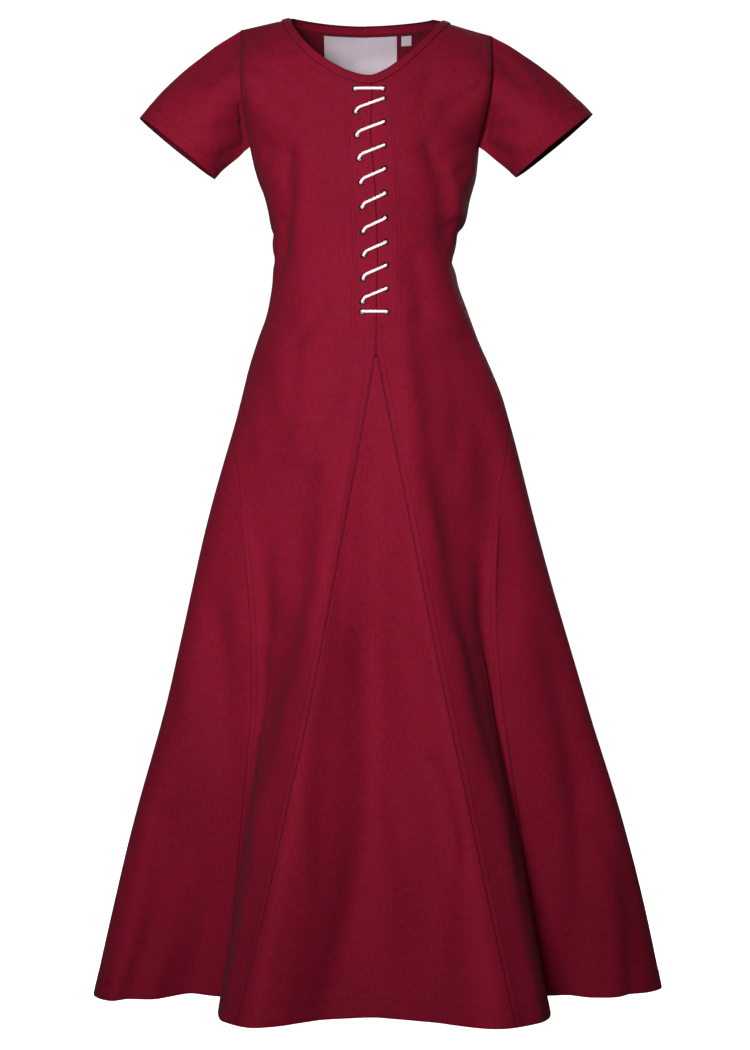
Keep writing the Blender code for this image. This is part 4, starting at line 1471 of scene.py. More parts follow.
@dataclass(frozen=True)
class PaleFinish(Finish):
    """White woven ribbon or cord, toned and faintly ribbed."""

    name: str
    light: Colour
    shade: Colour
    pitch: float
    roughness: float
    bump: float
    bump_height: float = 0.2 * MM
    slub: float = 0.4
    sheen: float = 0.15

    def paint(self, shader: SurfaceShader) -> None:
        """Build the ribbon or cord, which reads the cloth coordinates.

        Args:
            shader: The new material's shader.
        """
        weave = shader.weave(shader.cloth_place(), self.pitch, self.slub)
        soil = shader.noise(shader.solid_place(), 60, 3)
        # The weave's painted shade in its hollows darkens the ribbon and cord here, with the random soil
        # tone
        tone = shader.math("ADD", shader.math("MULTIPLY", soil, 0.5), weave.outputs["Tone"])
        colour = shader.mix(shader.ramp(tone, 0.1, 1.0), self.shade, self.light)
        shader.give(Base_Color=colour, Roughness=self.roughness, Sheen_Weight=self.sheen)
        shader.bump(weave.outputs["Height"], self.bump, self.bump_height)


CANVAS = ClothFinish()
# The canvas darkened for the wrong side of the cloth: painted shade for the inside of the dress
CANVAS_INSIDE_SHADE = ClothFinish(
    "wine_canvas_inside", deep=(0.060, 0.0012, 0.0055, 1), full=(0.115, 0.0035, 0.0120, 1),
    worn=(0.125, 0.0060, 0.0150, 1), cool=(0.085, 0.0040, 0.0170, 1),
)
THREAD = ThreadFinish()
EYELET_THREAD = ThreadFinish("eyelet_thread", (0.075, 0.0025, 0.008, 1), (0.030, 0.001, 0.004, 1), 0.7)
# The white label ribbon darkened to a grey mauve: painted shade that falls on it inside the back neck
LABEL_RIBBON_SHADED = PaleFinish("label_ribbon", (0.46, 0.385, 0.43, 1), (0.34, 0.28, 0.32, 1), 0.5 * MM, 0.5, 0.3)
LACE_COTTON = PaleFinish("lace_cotton", (0.90, 0.80, 0.82, 1), (0.70, 0.58, 0.61, 1), 0.9 * MM, 0.7, 0.35)


def line_cloth(piece: bpy.types.Object) -> None:
    """Give a sheet its outer finish, and on its wrong side a darker copy of it: painted shade inside the
    dress.
    """
    piece.data.materials.append(CANVAS.material())
    piece.data.materials.append(CANVAS_INSIDE_SHADE.material())


def declare(piece: bpy.types.Object, nodes: Sequence[str] = ()) -> None:
    """Ride a piece on the body and the solids that it stands for.

    Args:
        piece: The piece.
        nodes: The CAD nodes that it replaces.
    """
    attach(piece, ROOT)
    if nodes:
        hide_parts(*nodes)
    triangles = sum(len(face.vertices) - 2 for face in piece.data.polygons)
    LOG.info("%s: %d triangles", piece.name, triangles)


@dataclass
class Dress:
    """The body of the dress: two fronts, three gores and the back."""

    form: WornForm
    front_columns: int = 62
    gore_columns: int = 64
    side_gore_columns: int = 70
    back_columns: int = 124
    panels: dict[str, BodyPanel] = field(default_factory=dict)

    def centre_line(self, ring: Ring) -> float:
        """Give the cloth coordinate of the centre front at a ring."""
        first, last = self.form.cloth_of_angle(-40), self.form.cloth_of_angle(40)
        return ring.cloth_at_x(float(self.form.centre_x(ring.height)), first, last)

    def gore_line(self, ring: Ring, side: Side) -> float:
        """Find the cloth coordinate of one side of the front gore.

        Args:
            ring: The ring.
            side: The side.

        Returns:
            The cloth coordinate there.
        """
        part = (FRONT_APEX_HEIGHT - ring.height) / (FRONT_APEX_HEIGHT - HEM_HEIGHT)
        apex = CENTRE_FRONT[0][1] * MM + side.value * GORE_APEX_WIDTH / 2
        x = apex + (GORE_HEM_X[side] - apex) * part + GORE_BOW[side] * 4 * part * (1 - part)
        place = self.form.place
        return ring.cloth_at_x(x, place["left ridge"], place["right ridge"])

    def front(self, side: Side) -> BodyPanel:
        """Describe a front panel.

        Args:
            side: Which front.

        Returns:
            The panel, not yet built.
        """
        word = side.name.lower()
        place = self.form.place

        def lines_at(ring: Ring) -> list[float]:
            """Give the cloth coordinates of the panel's edges at a ring, left to right."""
            above_gore = ring.height > FRONT_APEX_HEIGHT + APEX_MARGIN
            centre = self.centre_line(ring) if above_gore else self.gore_line(ring, side)
            above_side = ring.height > SIDE_APEX_HEIGHT + APEX_MARGIN
            outer = place[word + (" edge" if above_side else " gore front seam")]
            return [centre, outer][:: side.value]

        def trims_at(ring: Ring) -> tuple[float, float]:
            """Give the gaps at the two edges."""
            centre = (SLIT_GAP if ring.height > SLIT_BOTTOM else SEAM_GAP) / 2
            return (centre, SEAM_GAP / 2)[:: side.value]

        centre, outer = EdgeFinish(felled=True, plain_above=SLIT_BOTTOM), EdgeFinish(felled=True)
        return BodyPanel(
            "front_" + word + "_cloth", lines_at, self.front_columns, ARMPIT_HEIGHT,
            cut=(0.34, 1.50), cut_area=0.325, trims_at=trims_at, upper_side=-1,
            first_edge=centre if side is Side.RIGHT else outer,
            last_edge=outer if side is Side.RIGHT else centre,
        )

    def describe(self) -> None:
        """Describe every panel."""
        form, place = self.form, self.form.place
        for side in Side:
            self.panels["front_" + side.name.lower()] = self.front(side)
        self.panels["front_gore"] = BodyPanel(
            "front_gore_cloth",
            lambda ring: [self.gore_line(ring, Side.LEFT), self.gore_line(ring, Side.RIGHT)],
            self.gore_columns, FRONT_APEX_HEIGHT, cut=(0.476, 0.986), cut_area=0.238,
        )
        for word in ("left", "right"):
            ends = sorted((place[word + " gore back seam"], place[word + " gore front seam"]))
            self.panels["side_gore_" + word] = BodyPanel(
                "side_gore_" + word + "_cloth", lambda ring, ends=ends: list(ends),
                self.side_gore_columns, SIDE_APEX_HEIGHT, cut=(0.51, 0.96), cut_area=0.305,
            )

        def back_lines(ring: Ring) -> list[float]:
            """Give the back's edges at a ring, left to right as seen from behind."""
            above_side = ring.height > SIDE_APEX_HEIGHT + APEX_MARGIN
            seam = " edge" if above_side else " gore back seam"
            return [place["right" + seam] - form.length, place["left" + seam]]

        self.panels["back"] = BodyPanel(
            "back_cloth", back_lines, self.back_columns, ARMPIT_HEIGHT,
            cut=(0.735, 1.50), cut_area=0.79, upper_side=1,
            first_edge=EdgeFinish(felled=True), last_edge=EdgeFinish(felled=True),
        )

    def build(self, eyelets: "Eyelets") -> None:
        """Build and dress every panel.

        Args:
            eyelets: The eyelets, whose holes are cut through the fronts.
        """
        self.describe()
        for node, panel in self.panels.items():
            piece = link_object(panel.name, panel.build(self.form))
            line_cloth(piece)
            thicken(piece, SHELL_THICKNESS)
            cutter = eyelets.cutter(node) if node in ("front_left", "front_right") else None
            if cutter:
                cut = piece.modifiers.new("eyelets", "BOOLEAN")
                cut.operation = "DIFFERENCE"
                cut.object = cutter
            freeze(piece)
            if cutter:
                bpy.data.objects.remove(cutter, do_unlink=True)
            smooth_mesh(piece.data)
            declare(piece, [node])


@dataclass
class Eyelets:
    """The laced slit's worked eyelets."""

    form: WornForm
    count: int = 11
    top: float = -121 * MM
    spacing: float = 33.9 * MM
    end_spacing: float = 14.5 * MM
    radius: float = 3.1 * MM
    left_inset: float = 20 * MM
    right_top_x: float = 23.3 * MM
    right_bottom_x: float = 28.2 * MM
    rim_width: float = 2.1 * MM
    rim_height: float = 0.8 * MM
    rim_stitches: int = 16
    rim_sides: int = 8
    rim_valley: float = 0.75
    rim_ridge: float = 0.35
    hole_sides: int = 20
    cutter_depth: float = 12 * MM

    def places(self) -> tuple[list[tuple[float, float]], list[tuple[float, float]]]:
        """List the left and the right eyelets from the top down.

        The odd short step is the lowest one on the left and the highest one on the right.

        Returns:
            The left ones and the right ones, each as x and height.
        """
        bottom = self.top - (self.count - 2) * self.spacing - self.end_spacing
        left, right = [], []
        for index in range(self.count):
            height = bottom if index == self.count - 1 else self.top - index * self.spacing
            left.append((float(self.form.centre_x(height)) - self.left_inset, height))
            height = self.top
            if index > 0:
                height = self.top - self.end_spacing - (index - 1) * self.spacing
            part = (self.top - height) / (self.top - bottom)
            right.append((self.right_top_x + (self.right_bottom_x - self.right_top_x) * part, height))
        return left, right

    def frames(self, node: str) -> list[Matrix]:
        """Find a frame on the cloth for each eyelet of a front.

        Args:
            node: The front's node.

        Returns:
            The frames, with Z outward.
        """
        left, right = self.places()
        frames = []
        for x, height in left if node == "front_left" else right:
            point, normal = self.form.at(x, height)
            turn = normal.to_track_quat("Z", "Y").to_matrix().to_4x4()
            frames.append(Matrix.Translation(point) @ turn)
        return frames

    def cutter(self, node: str) -> bpy.types.Object:
        """Build the round cutters for one front.

        Args:
            node: The front's node.

        Returns:
            One object with a cutter at each eyelet.
        """
        mesh = bmesh.new()
        for place in self.frames(node):
            bmesh.ops.create_cone(
                mesh, cap_ends=True, segments=self.hole_sides, radius1=self.radius,
                radius2=self.radius, depth=self.cutter_depth, matrix=place,
            )
        return link_object("eyelet_cutter", finished_mesh("eyelet_cutter", mesh))

    def build(self) -> None:
        """Work a ridged ring of thread round each hole."""
        for node in ("front_left", "front_right"):
            mesh = bmesh.new()
            for place in self.frames(node):
                middle = self.radius + self.rim_width / 2
                ring = bmesh.ops.create_circle(mesh, segments=self.rim_sides, radius=1)["verts"]
                bmesh.ops.scale(mesh, verts=ring, vec=(self.rim_width / 2, self.rim_height, 1))
                bmesh.ops.rotate(mesh, verts=ring, matrix=Matrix.Rotation(math.pi / 2, 3, "X"))
                bmesh.ops.translate(mesh, verts=ring, vec=(middle, 0, 0))
                edges = list(dict.fromkeys(edge for vertex in ring for edge in vertex.link_edges))
                bmesh.ops.spin(
                    mesh, geom=ring + edges, cent=(0, 0, 0), axis=(0, 0, 1),
                    angle=2 * math.pi, steps=3 * self.rim_stitches, use_merge=True,
                )
                fresh = [vertex for vertex in mesh.verts if not vertex.tag]
                for vertex in fresh:
                    turn = math.atan2(vertex.co.y, vertex.co.x)
                    ridge = abs(math.cos(turn * self.rim_stitches / 2))
                    vertex.co.z *= self.rim_valley + self.rim_ridge * ridge
                    vertex.co = place @ vertex.co
                    vertex.tag = True
            face_outward(mesh)
            data = finished_mesh(node + "_eyelet_rims", mesh)
            smooth_mesh(data)
            data.materials.append(EYELET_THREAD.material())
            declare(link_object(data.name, data))


@dataclass(frozen=True)
class SleeveCrease:
    """A soft trough (negative depth) or ridge on a sleeve.

    Its ends are given in degrees round the sleeve, from the top by the front, and as
    shares of its length. Its width and depth are in millimetres.
    """

    turn_a: float
    part_a: float
    turn_b: float
    part_b: float
    width: float
    depth: float


@dataclass
class Sleeve:
    """A short set-in sleeve, lofted from its armhole to its cuff, with its cuff in millimetres."""

    form: WornForm
    side: Side
    cuff_centre: tuple[float, float, float]
    cuff_up: tuple[float, float, float]
    half_width: float
    half_depth: float
    rise: float
    fullness: float = 8 * MM
    columns: int = 132
    rows: int = 58
    cuff_hem: float = 20 * MM
    edge_drop: float = 0.5 * MM
    cuff_edge: float = 0.992
    armhole_samples: int = 500
    crease_ease: float = 8 * MM
    wave_ease: float = 20 * MM
    cut: tuple[float, float] = (0.38, 0.21)
    cut_area: float = 0.060
    cuff_row: Array = filled_later()
    cuff_normals: Array = filled_later()

    creases = (
        SleeveCrease(150, 0.05, 110, 0.55, 11, -3.0),
        SleeveCrease(128, 0.04, 92, 0.40, 8, -2.2),
        SleeveCrease(172, 0.10, 150, 0.75, 11, -2.6),
        SleeveCrease(100, 0.02, 70, 0.25, 8, -1.8),
        SleeveCrease(62, 0.02, 48, 0.22, 9, -1.4),
        SleeveCrease(195, 0.08, 222, 0.70, 9, -2.8),
        SleeveCrease(215, 0.04, 256, 0.45, 9, -2.4),
        SleeveCrease(250, 0.02, 284, 0.28, 8, -1.8),
        SleeveCrease(140, 0.60, 100, 0.95, 10, 1.8),
        SleeveCrease(114, 0.01, 166, 0.07, 8, -4.5),
        SleeveCrease(30, 0.06, 62, 0.40, 14, -3.2),
        SleeveCrease(20, 0.35, 60, 0.80, 16, -1.6),
        SleeveCrease(330, 0.30, 300, 0.85, 16, -1.8),
    )

    def armhole(self) -> Pair:
        """Find the armhole, from the shoulder down the front and up the back.

        Returns:
            Its points and the cloth's normals there.
        """
        angle = self.side.value * math.pi / 2
        points, normals = [], []
        for half in (-1, 1):
            fine = np.linspace(math.pi / 2, 0, self.armhole_samples)
            curve = self.form.upper_point(np.full(len(fine), angle), fine, half)
            arc = lengths_along(curve)
            lifts = np.interp(np.linspace(0, arc[-1], self.columns // 2 + 1), arc, fine)
            row = self.form.upper_point(np.full(len(lifts), angle), lifts, half)
            # The normals are read a little forward of the armhole's edge
            turned = np.full(len(lifts), angle - self.side.value * 0.02)
            normal = self.form.upper_normal(turned, lifts, half)
            if half > 0:
                row, normal = row[::-1][1:], normal[::-1][1:]
            points.append(row)
            normals.append(normal)
        start, normal = np.concatenate(points), np.concatenate(normals)
        normal[0] = normal[-1] = unit(normal[0] + normal[-1])
        return start, normal

    def build(self) -> None:
        """Build and dress the sleeve."""
        start, start_normals = self.armhole()
        away = unit(np.cross(np.gradient(start, axis=0), start_normals))
        start = start + away * np.sign(away[0, 0] * self.side.value) * SEAM_GAP
        start = start + start_normals * (relief(start, start_normals) - self.edge_drop)[:, None]
        start[-1] = start[0]
        up = np.array(Vector(self.cuff_up).normalized())
        turns = np.linspace(0, 2 * math.pi, self.columns + 1)
        reach = np.outer(np.cos(turns), up) * self.half_width * MM
        depth = np.outer(-np.sin(turns), [0, 1, 0]) * self.half_depth * MM
        end = np.array(self.cuff_centre) * MM + reach + depth
        bulge = np.clip(np.cos(turns), 0, 1)[:, None] ** 2 * up * self.rise * MM
        swell = np.outer(-np.sin(turns), [0, 1, 0]) * self.fullness
        size = np.linalg.norm(end - start, axis=1).mean()
        even = np.linspace(0, 1, self.rows + 1)
        stitched = 1 - self.cuff_hem / size
        beside_stitches = stitched + np.array(STITCH_ROWS) / size
        parts = np.sort(np.concatenate([even, beside_stitches, [self.cuff_edge]]))
        points = np.array(
            [start + (end - start) * p + (bulge + swell) * 4 * p * (1 - p) for p in parts]
        )
        around = np.roll(points[:, :-1], -1, axis=1) - np.roll(points[:, :-1], 1, axis=1)
        around = np.concatenate([around, around[:, :1]], axis=1)
        normals = unit(np.cross(np.gradient(points, axis=0), around))
        inward = points.mean(axis=1, keepdims=True) - points
        normals *= -np.sign(np.sum(normals * inward, axis=-1, keepdims=True))
        normals[0] = start_normals
        moved = self.relief(parts, turns, size, points)
        points = points + normals * moved[..., None]
        stitched_row = int(np.argmin(np.abs(parts - stitched)))
        self.cuff_row, self.cuff_normals = points[stitched_row], normals[stitched_row]
        uvs = np.stack(np.meshgrid(turns * self.girth_radius(), -parts * size), -1)
        edges = np.minimum(parts, 1 - parts)[:, None] * size + np.zeros_like(turns)
        order = slice(None, None, -1) if self.side is Side.RIGHT else slice(None)
        word = self.side.name.lower()
        data = grid_mesh(
            "sleeve_" + word + "_cloth", points[::-1][:, order], uvs[::-1][:, order],
            edges[::-1][:, order], closed=True,
        )
        piece = link_object(data.name, data)
        line_cloth(piece)
        thicken(piece, SHELL_THICKNESS)
        freeze(piece)
        smooth_mesh(piece.data)
        declare(piece, ["sleeve_" + word])

    def girth_radius(self) -> float:
        """Give the radius that turns into lengths of cloth round the sleeve."""
        return self.half_depth * MM * 1.2

    def relief(self, parts: Array, turns: Array, size: float, points: Array) -> Array:
        """Find the sleeve's creases, cuff stitching and soft waves.

        Args:
            parts: Each row's share of the length.
            turns: Each column's turn from the top.
            size: The sleeve's length.
            points: The plain points.

        Returns:
            Rows by columns of outward moves.
        """
        radius = self.girth_radius()
        across, along = np.meshgrid(turns * radius, parts * size)
        moved = np.zeros_like(across)
        for crease in self.creases:
            start = (math.radians(crease.turn_a) * radius, crease.part_a * size)
            end = (math.radians(crease.turn_b) * radius, crease.part_b * size)
            share, beside, _ = beside_line(across, along, start, end)
            fade = ease(share * 5 + 0.5) * ease((1 - share) * 3 + 0.3)
            moved += crease.depth * MM * bell(beside, crease.width * MM) * fade
        moved *= ease(along / self.crease_ease)
        flat = points.reshape(-1, 3)
        waves = np.array([noise.noise(Vector(point * SLEEVE_WAVE_SCALE)) for point in flat])
        moved += WAVE_DEPTH * waves.reshape(across.shape) * ease(along / self.wave_ease)
        moved += turned_seam(size - along, self.cuff_hem)
        moved[:, -1] = moved[:, 0]
        return moved


@dataclass
class NeckBand:
    """The narrow bound band round the neck, open at the slit."""

    form: WornForm
    thickness: float = 1.9 * MM
    crown: float = 0.8 * MM
    across: int = 9
    half_columns: int = 70
    cut: tuple[float, float] = (0.62, 0.024)
    cut_area: float = 0.0135
    sink: float = 0.3 * MM
    stitch_share: float = 0.18
    stitch_dip: float = 0.3 * MM
    dip_share: float = 0.07
    lap: float = 0.035
    lap_height: float = 1.1 * MM
    lap_ease: float = 0.05
    points: Array = filled_later()
    normals: Array = filled_later()

    def columns(self) -> list[tuple[float, NeckHalf, bool]]:
        """List the columns round the neck, from the lap at the slit.

        Returns:
            Each one's share of the half's width, its half, and whether it is on the back.
        """
        shares = np.sin(np.linspace(0, math.pi / 2, self.half_columns))
        gap = SLIT_GAP / 2 / abs(LEFT_NECK.end_x - NECK_POINT_X)
        front = gap + (1 - gap) * shares
        columns = [(-self.lap * part, LEFT_NECK, False) for part in (1.0, 0.97, 0.5)]
        columns += [(float(share), LEFT_NECK, False) for share in front]
        columns += [(float(share), LEFT_NECK, True) for share in shares[::-1][1:]]
        columns += [(float(share), RIGHT_NECK, True) for share in shares[1:]]
        columns += [(float(share), RIGHT_NECK, False) for share in front[::-1][1:]]
        return columns

    def build(self) -> None:
        """Build and dress the band."""
        points, normals = [], []
        parts = np.linspace(0, 1, self.across)
        height = self.crown * np.sqrt(np.clip(1 - (2 * parts - 1) ** 6, 0, None)) - self.sink
        height -= self.stitch_dip * bell(parts - self.stitch_share, self.dip_share)
        for share, half, back in self.columns():
            sign = -1 if half is LEFT_NECK else 1
            grown = BAND_WIDTH * (1 - parts)
            x = NECK_POINT_X + sign * share * (abs(half.end_x - NECK_POINT_X) + grown)
            places = [(at, neck_drop(at, half, outside, back)) for at, outside in zip(x, grown)]
            row, row_normals = self.form.on_cloth(places, back)
            laps = half is LEFT_NECK and not back
            lapped = self.lap_height * float(ease(1 - share / self.lap_ease)) * laps
            points.append(row + row_normals * (height + lapped)[:, None])
            normals.append(row_normals)
        self.points = np.array(points).transpose(1, 0, 2)
        self.normals = np.array(normals).transpose(1, 0, 2)
        along = lengths_along(self.points[0])
        wide = np.linspace(0, BAND_WIDTH, self.across)
        uvs = np.stack(np.meshgrid(along, wide), -1)
        edges = np.minimum(wide, BAND_WIDTH - wide)[:, None] + np.zeros_like(along)
        data = grid_mesh("neck_band_cloth", self.points, uvs, edges)
        piece = link_object(data.name, data)
        piece.data.materials.append(CANVAS.material())
        thicken(piece, self.thickness)
        freeze(piece)
        smooth_mesh(piece.data)
        declare(piece, ["neck_band"])

    def stitch_row(self) -> Pair:
        """Give the line of the band's topstitching."""
        index = round(self.stitch_share * (self.across - 1))
        return self.points[index], self.normals[index]


@dataclass
class Patch:
    """A bare woven patch inside the back neck."""

    form: WornForm
    name: str
    node: str
    left: float
    right: float
    top: float
    bottom: float
    lift: float = 2.4 * MM
    thickness: float = 0.9 * MM
    step: float = 2.5 * MM
    bow: float = 0.5 * MM

    def build(self) -> None:
        """Build and dress the patch, a little bowed away from the back."""
        columns = max(3, round((self.right - self.left) / self.step))
        rows = max(3, round((self.top - self.bottom) / self.step))
        across = np.linspace(self.left, self.right, columns)
        upward = np.linspace(self.bottom, self.top, rows)
        places = [(x, height) for height in upward for x in across]
        points, normals = self.form.on_cloth(places, back=True)
        down = np.array([(self.top - height) / (self.top - self.bottom) for _, height in places])
        bow = self.bow * np.sin(down * math.pi) * np.sin(9 * down + 30 * points[:, 0])
        points = (points - normals * (self.lift + bow)[:, None]).reshape(rows, columns, 3)
        uvs = np.stack(np.meshgrid(across, upward), -1)
        data = grid_mesh(self.name, points, uvs, np.full((rows, columns), FAR_FROM_EDGE))
        piece = link_object(self.name, data)
        thicken(piece, self.thickness)
        freeze(piece)
        reworked(piece.data, face_outward)
        smooth_mesh(piece.data)
        piece.data.materials.append(LABEL_RIBBON_SHADED.material())
        declare(piece, [self.node])


@dataclass
class Lace:
    """One round twisted cord through all the eyelets."""

    form: WornForm
    eyelets: Eyelets
    radius: float = 2.1 * MM
    clearance: float = 0.35 * MM
    inner_clearance: float = 1.2 * MM
    tail: float = 26 * MM
    step: float = 1.1 * MM
    sides: int = 20
    strands: int = 4
    strand_depth: float = 0.10
    twist_length: float = 15 * MM
    route_samples: int = 6000
    tip_share: float = 0.35
    tip_length: float = 1.5
    rung: tuple[tuple[float, float], ...] = ((0.10, 0.28), (0.36, 0.50), (0.68, 0.74), (0.93, 0.93))

    def route(self) -> list[Vector]:
        """List the lace's points, from the bottom eyelets to the top ones.

        Returns:
            The points that the cord passes through.
        """
        left, right = self.eyelets.places()
        outside = self.radius + self.clearance
        inside = -(SHELL_THICKNESS + self.radius + self.inner_clearance)

        def at(x: float, height: float, offset: float) -> Vector:
            """Give a point over or under the cloth."""
            point, normal = self.form.at(x, height)
            return point + normal * offset

        first, last = left[-1], right[0]
        drop = Vector((0, 0, -self.tail))
        points = [at(*first, 2 * inside) + drop, at(*first, 2 * inside) + drop / 2]
        for index in reversed(range(len(left))):
            (left_x, left_z), (right_x, right_z) = left[index], right[index]
            points += [at(left_x, left_z, inside), at(left_x, left_z, 0), at(left_x, left_z, outside)]
            for along, rise in self.rung:
                share = rise if right_z - left_z > MM else along
                x = left_x + (right_x - left_x) * along
                points.append(at(x, left_z + (right_z - left_z) * share, outside))
            points += [at(right_x, right_z, outside), at(right_x, right_z, 0), at(right_x, right_z, inside)]
            if index > 0:
                x, height = left[index - 1]
                points.append(at((x + right_x) / 2, (height + right_z) / 2, inside))
        points += [at(*last, 2 * inside) + drop / 2, at(*last, 2 * inside) + drop]
        return points

    def path(self) -> Array:
        """Smooth the route and space its points evenly.

        Returns:
            The cord's middle line, one point a row.
        """
        route = np.array([list(point) for point in self.route()])
        steps = np.linalg.norm(np.diff(route, axis=0), axis=1)
        knots = np.concatenate([[0], np.cumsum(steps**0.5)])
        fine = np.linspace(0, knots[-1], self.route_samples)
        smooth = np.stack([smooth_curve(knots, route[:, i], True)(fine) for i in range(3)], -1)
        arc = lengths_along(smooth)
        even = np.linspace(0, arc[-1], int(arc[-1] / self.step) + 1)
        return read_along(even, arc, smooth)

    def build(self) -> None:
        """Sweep the stranded round along the path."""
        path = self.path()
        tangents = unit(np.gradient(path, axis=0))
        side = unit(np.cross(tangents[0], [0.0, 1.0, 0.0]))
        sides = []
        for tangent in tangents:
            side = unit(side - tangent * float(np.dot(side, tangent)))
            sides.append(side)
        sides = np.array(sides)
        ups = np.cross(tangents, sides)
        arc = lengths_along(path)
        turns = np.linspace(0, 2 * math.pi, self.sides + 1)
        twists = arc[:, None] * 2 * math.pi / self.twist_length
        phase = self.strands * (turns[None, :] - twists)
        radius = self.radius * (1 - self.strand_depth * (1 - np.abs(np.cos(phase / 2))))
        ends = np.minimum(arc, arc[-1] - arc)
        taper = self.tip_share + ends / (self.tip_length * self.radius)
        radius = radius * np.clip(taper, 0, 1)[:, None]
        across = np.cos(turns)[None, :, None] * sides[:, None, :]
        across = across + np.sin(turns)[None, :, None] * ups[:, None, :]
        points = path[:, None, :] + across * radius[..., None]
        uvs = np.stack(np.meshgrid(turns * self.radius, arc), -1)
        plain = np.full(points.shape[:2], FAR_FROM_EDGE)
        data = grid_mesh("lace_cord", points, uvs, plain, closed=True)
        reworked(data, cap_ends, face_outward)
        smooth_mesh(data, degrees=60)
        data.materials.append(LACE_COTTON.material())
        LOG.info("lace: %.3f m long", arc[-1])
        declare(link_object("lace_cord", data), ["lacing"])


def row_below(row: Pair, height: float) -> Pair:
    """Keep the part of a row that lies below a height.

    Args:
        row: The row's points and normals.
        height: The height.

    Returns:
        The points and normals below it.
    """
    points, normals = row
    below = points[:, 2] < height
    return points[below], normals[below]


@dataclass
class Stitching:
    """Rows of topstitching that lie on the cloth."""

    dress: Dress
    sleeves: list[Sleeve]
    band: NeckBand
    pitch: float = 3.6 * MM
    length: float = 2.7 * MM
    radius: float = 0.45 * MM
    lift: float = 0.14 * MM
    fell_top: float = SLIT_BOTTOM - 4 * MM
    armhole_offsets: tuple[float, float] = (2.6 * MM, 7.2 * MM)
    armhole_foot: float = 6 * MM
    armhole_head: float = 4 * MM
    placket_offsets: tuple[float, ...] = (-36 * MM, -31 * MM, 29 * MM, 34 * MM)
    placket_top: float = -150 * MM
    placket_foot: float = SLIT_BOTTOM - 22 * MM
    placket_steps: int = 60
    bar_drops: tuple[float, float] = (5 * MM, 9 * MM)
    bar_half_width: float = 8 * MM
    bar_steps: int = 9

    def rows(self) -> dict[str, list[Pair]]:
        """List the rows by piece.

        Returns:
            For each piece, its rows' points and normals.
        """
        panels = self.dress.panels
        fronts, sides = [], []
        for word, first, last in (("left", -1, 1), ("right", 1, -1)):
            front, back = panels["front_" + word], panels["back"]
            for index in STITCHED_COLUMNS:
                # The back's side seam is at the same end of its columns as the front's slit
                from_first, from_last = (index if way > 0 else -1 - index for way in (first, last))
                fronts.append(row_below(front.column(from_first), self.fell_top))
                sides.append(row_below(front.column(from_last), ARMPIT_HEIGHT))
                sides.append(row_below(back.column(from_first), ARMPIT_HEIGHT))
        return {
            "front_seam_stitches": fronts,
            "side_seam_stitches": sides,
            "hem_stitches": [panel.hem_row() for panel in panels.values()],
            "cuff_stitches": [(sleeve.cuff_row, sleeve.cuff_normals) for sleeve in self.sleeves],
            "neck_stitches": [self.band.stitch_row()] + self.placket_rows(),
            "armhole_stitches": self.armhole_rows(),
        }

    def armhole_rows(self) -> list[Pair]:
        """Give the two lines beside each armhole's front.

        Returns:
            Each line's points and normals.
        """
        rows = []
        for sleeve in self.sleeves:
            seam = sleeve.armhole()[0][: sleeve.columns // 2 + 1]
            heights = seam[:, 2]
            above_foot = heights > heights.min() + self.armhole_foot
            seam = seam[above_foot & (heights < heights.max() - self.armhole_head)]
            for offset in self.armhole_offsets:
                places = [(x - sleeve.side.value * offset, z) for x, _, z in seam]
                rows.append(self.dress.form.on_cloth(places))
        return rows

    def placket_rows(self) -> list[Pair]:
        """Give the lines beside the slit and the bar across its foot.

        Returns:
            Each line's points and normals.
        """
        form = self.dress.form
        rows = []
        heights = np.linspace(self.placket_top, self.placket_foot, self.placket_steps)
        for offset in self.placket_offsets:
            rows.append(form.on_cloth([(float(form.centre_x(h)) + offset, h) for h in heights]))
        for drop in self.bar_drops:
            height = SLIT_BOTTOM - drop
            centre = float(form.centre_x(height))
            across = np.linspace(-self.bar_half_width, self.bar_half_width, self.bar_steps)
            rows.append(form.on_cloth([(centre + x, height) for x in across]))
        return rows

    def sew(self, mesh: bmesh.types.BMesh, points: Array, normals: Array) -> None:
        """Lay stitches along one line.

        Args:
            mesh: The mesh that takes them.
            points: The line's points.
            normals: The cloth's normals there.
        """
        arc = lengths_along(points)
        for place in np.arange(self.pitch, arc[-1] - self.pitch, self.pitch):
            start, end = (read_along(place + move, arc, points) for move in (0, self.length))
            normal = Vector(read_along(place, arc, normals)).normalized()
            along = Vector(end - start).normalized()
            side = normal.cross(along)
            turn = Matrix((along, side, normal)).transposed().to_4x4()
            middle = Vector((start + end) / 2) + normal * self.lift
            size = Matrix.Diagonal((self.length / 2, self.radius, self.radius, 1))
            bmesh.ops.create_icosphere(
                mesh, subdivisions=1, radius=1, matrix=Matrix.Translation(middle) @ turn @ size
            )

    def build(self) -> None:
        """Sew every row."""
        for name, rows in self.rows().items():
            whole = bmesh.new()
            for points, normals in rows:
                mesh = bmesh.new()
                self.sew(mesh, points, normals)
                part = finished_mesh("row", mesh)
                whole.from_mesh(part)
                bpy.data.meshes.remove(part)
            data = finished_mesh(name, whole)
            data.shade_smooth()
            data.materials.append(THREAD.material())
            declare(link_object(name, data))


@dataclass(frozen=True)
class PaperFinish(Finish):
    """The studio's matt paper, which glows a little so that it stays pale in every view."""

    name: str = "pale_paper"
    colour: Colour = (0.93, 0.93, 0.93, 1)
    roughness: float = 0.9
    glow: float = 1.0

    def paint(self, shader: SurfaceShader) -> None:
        """Build the paper.

        Args:
            shader: The new material's shader.
        """
        shader.give(
            Base_Color=self.colour, Roughness=self.roughness, Emission_Color=(1, 1, 1, 1),
            Emission_Strength=self.glow,
        )


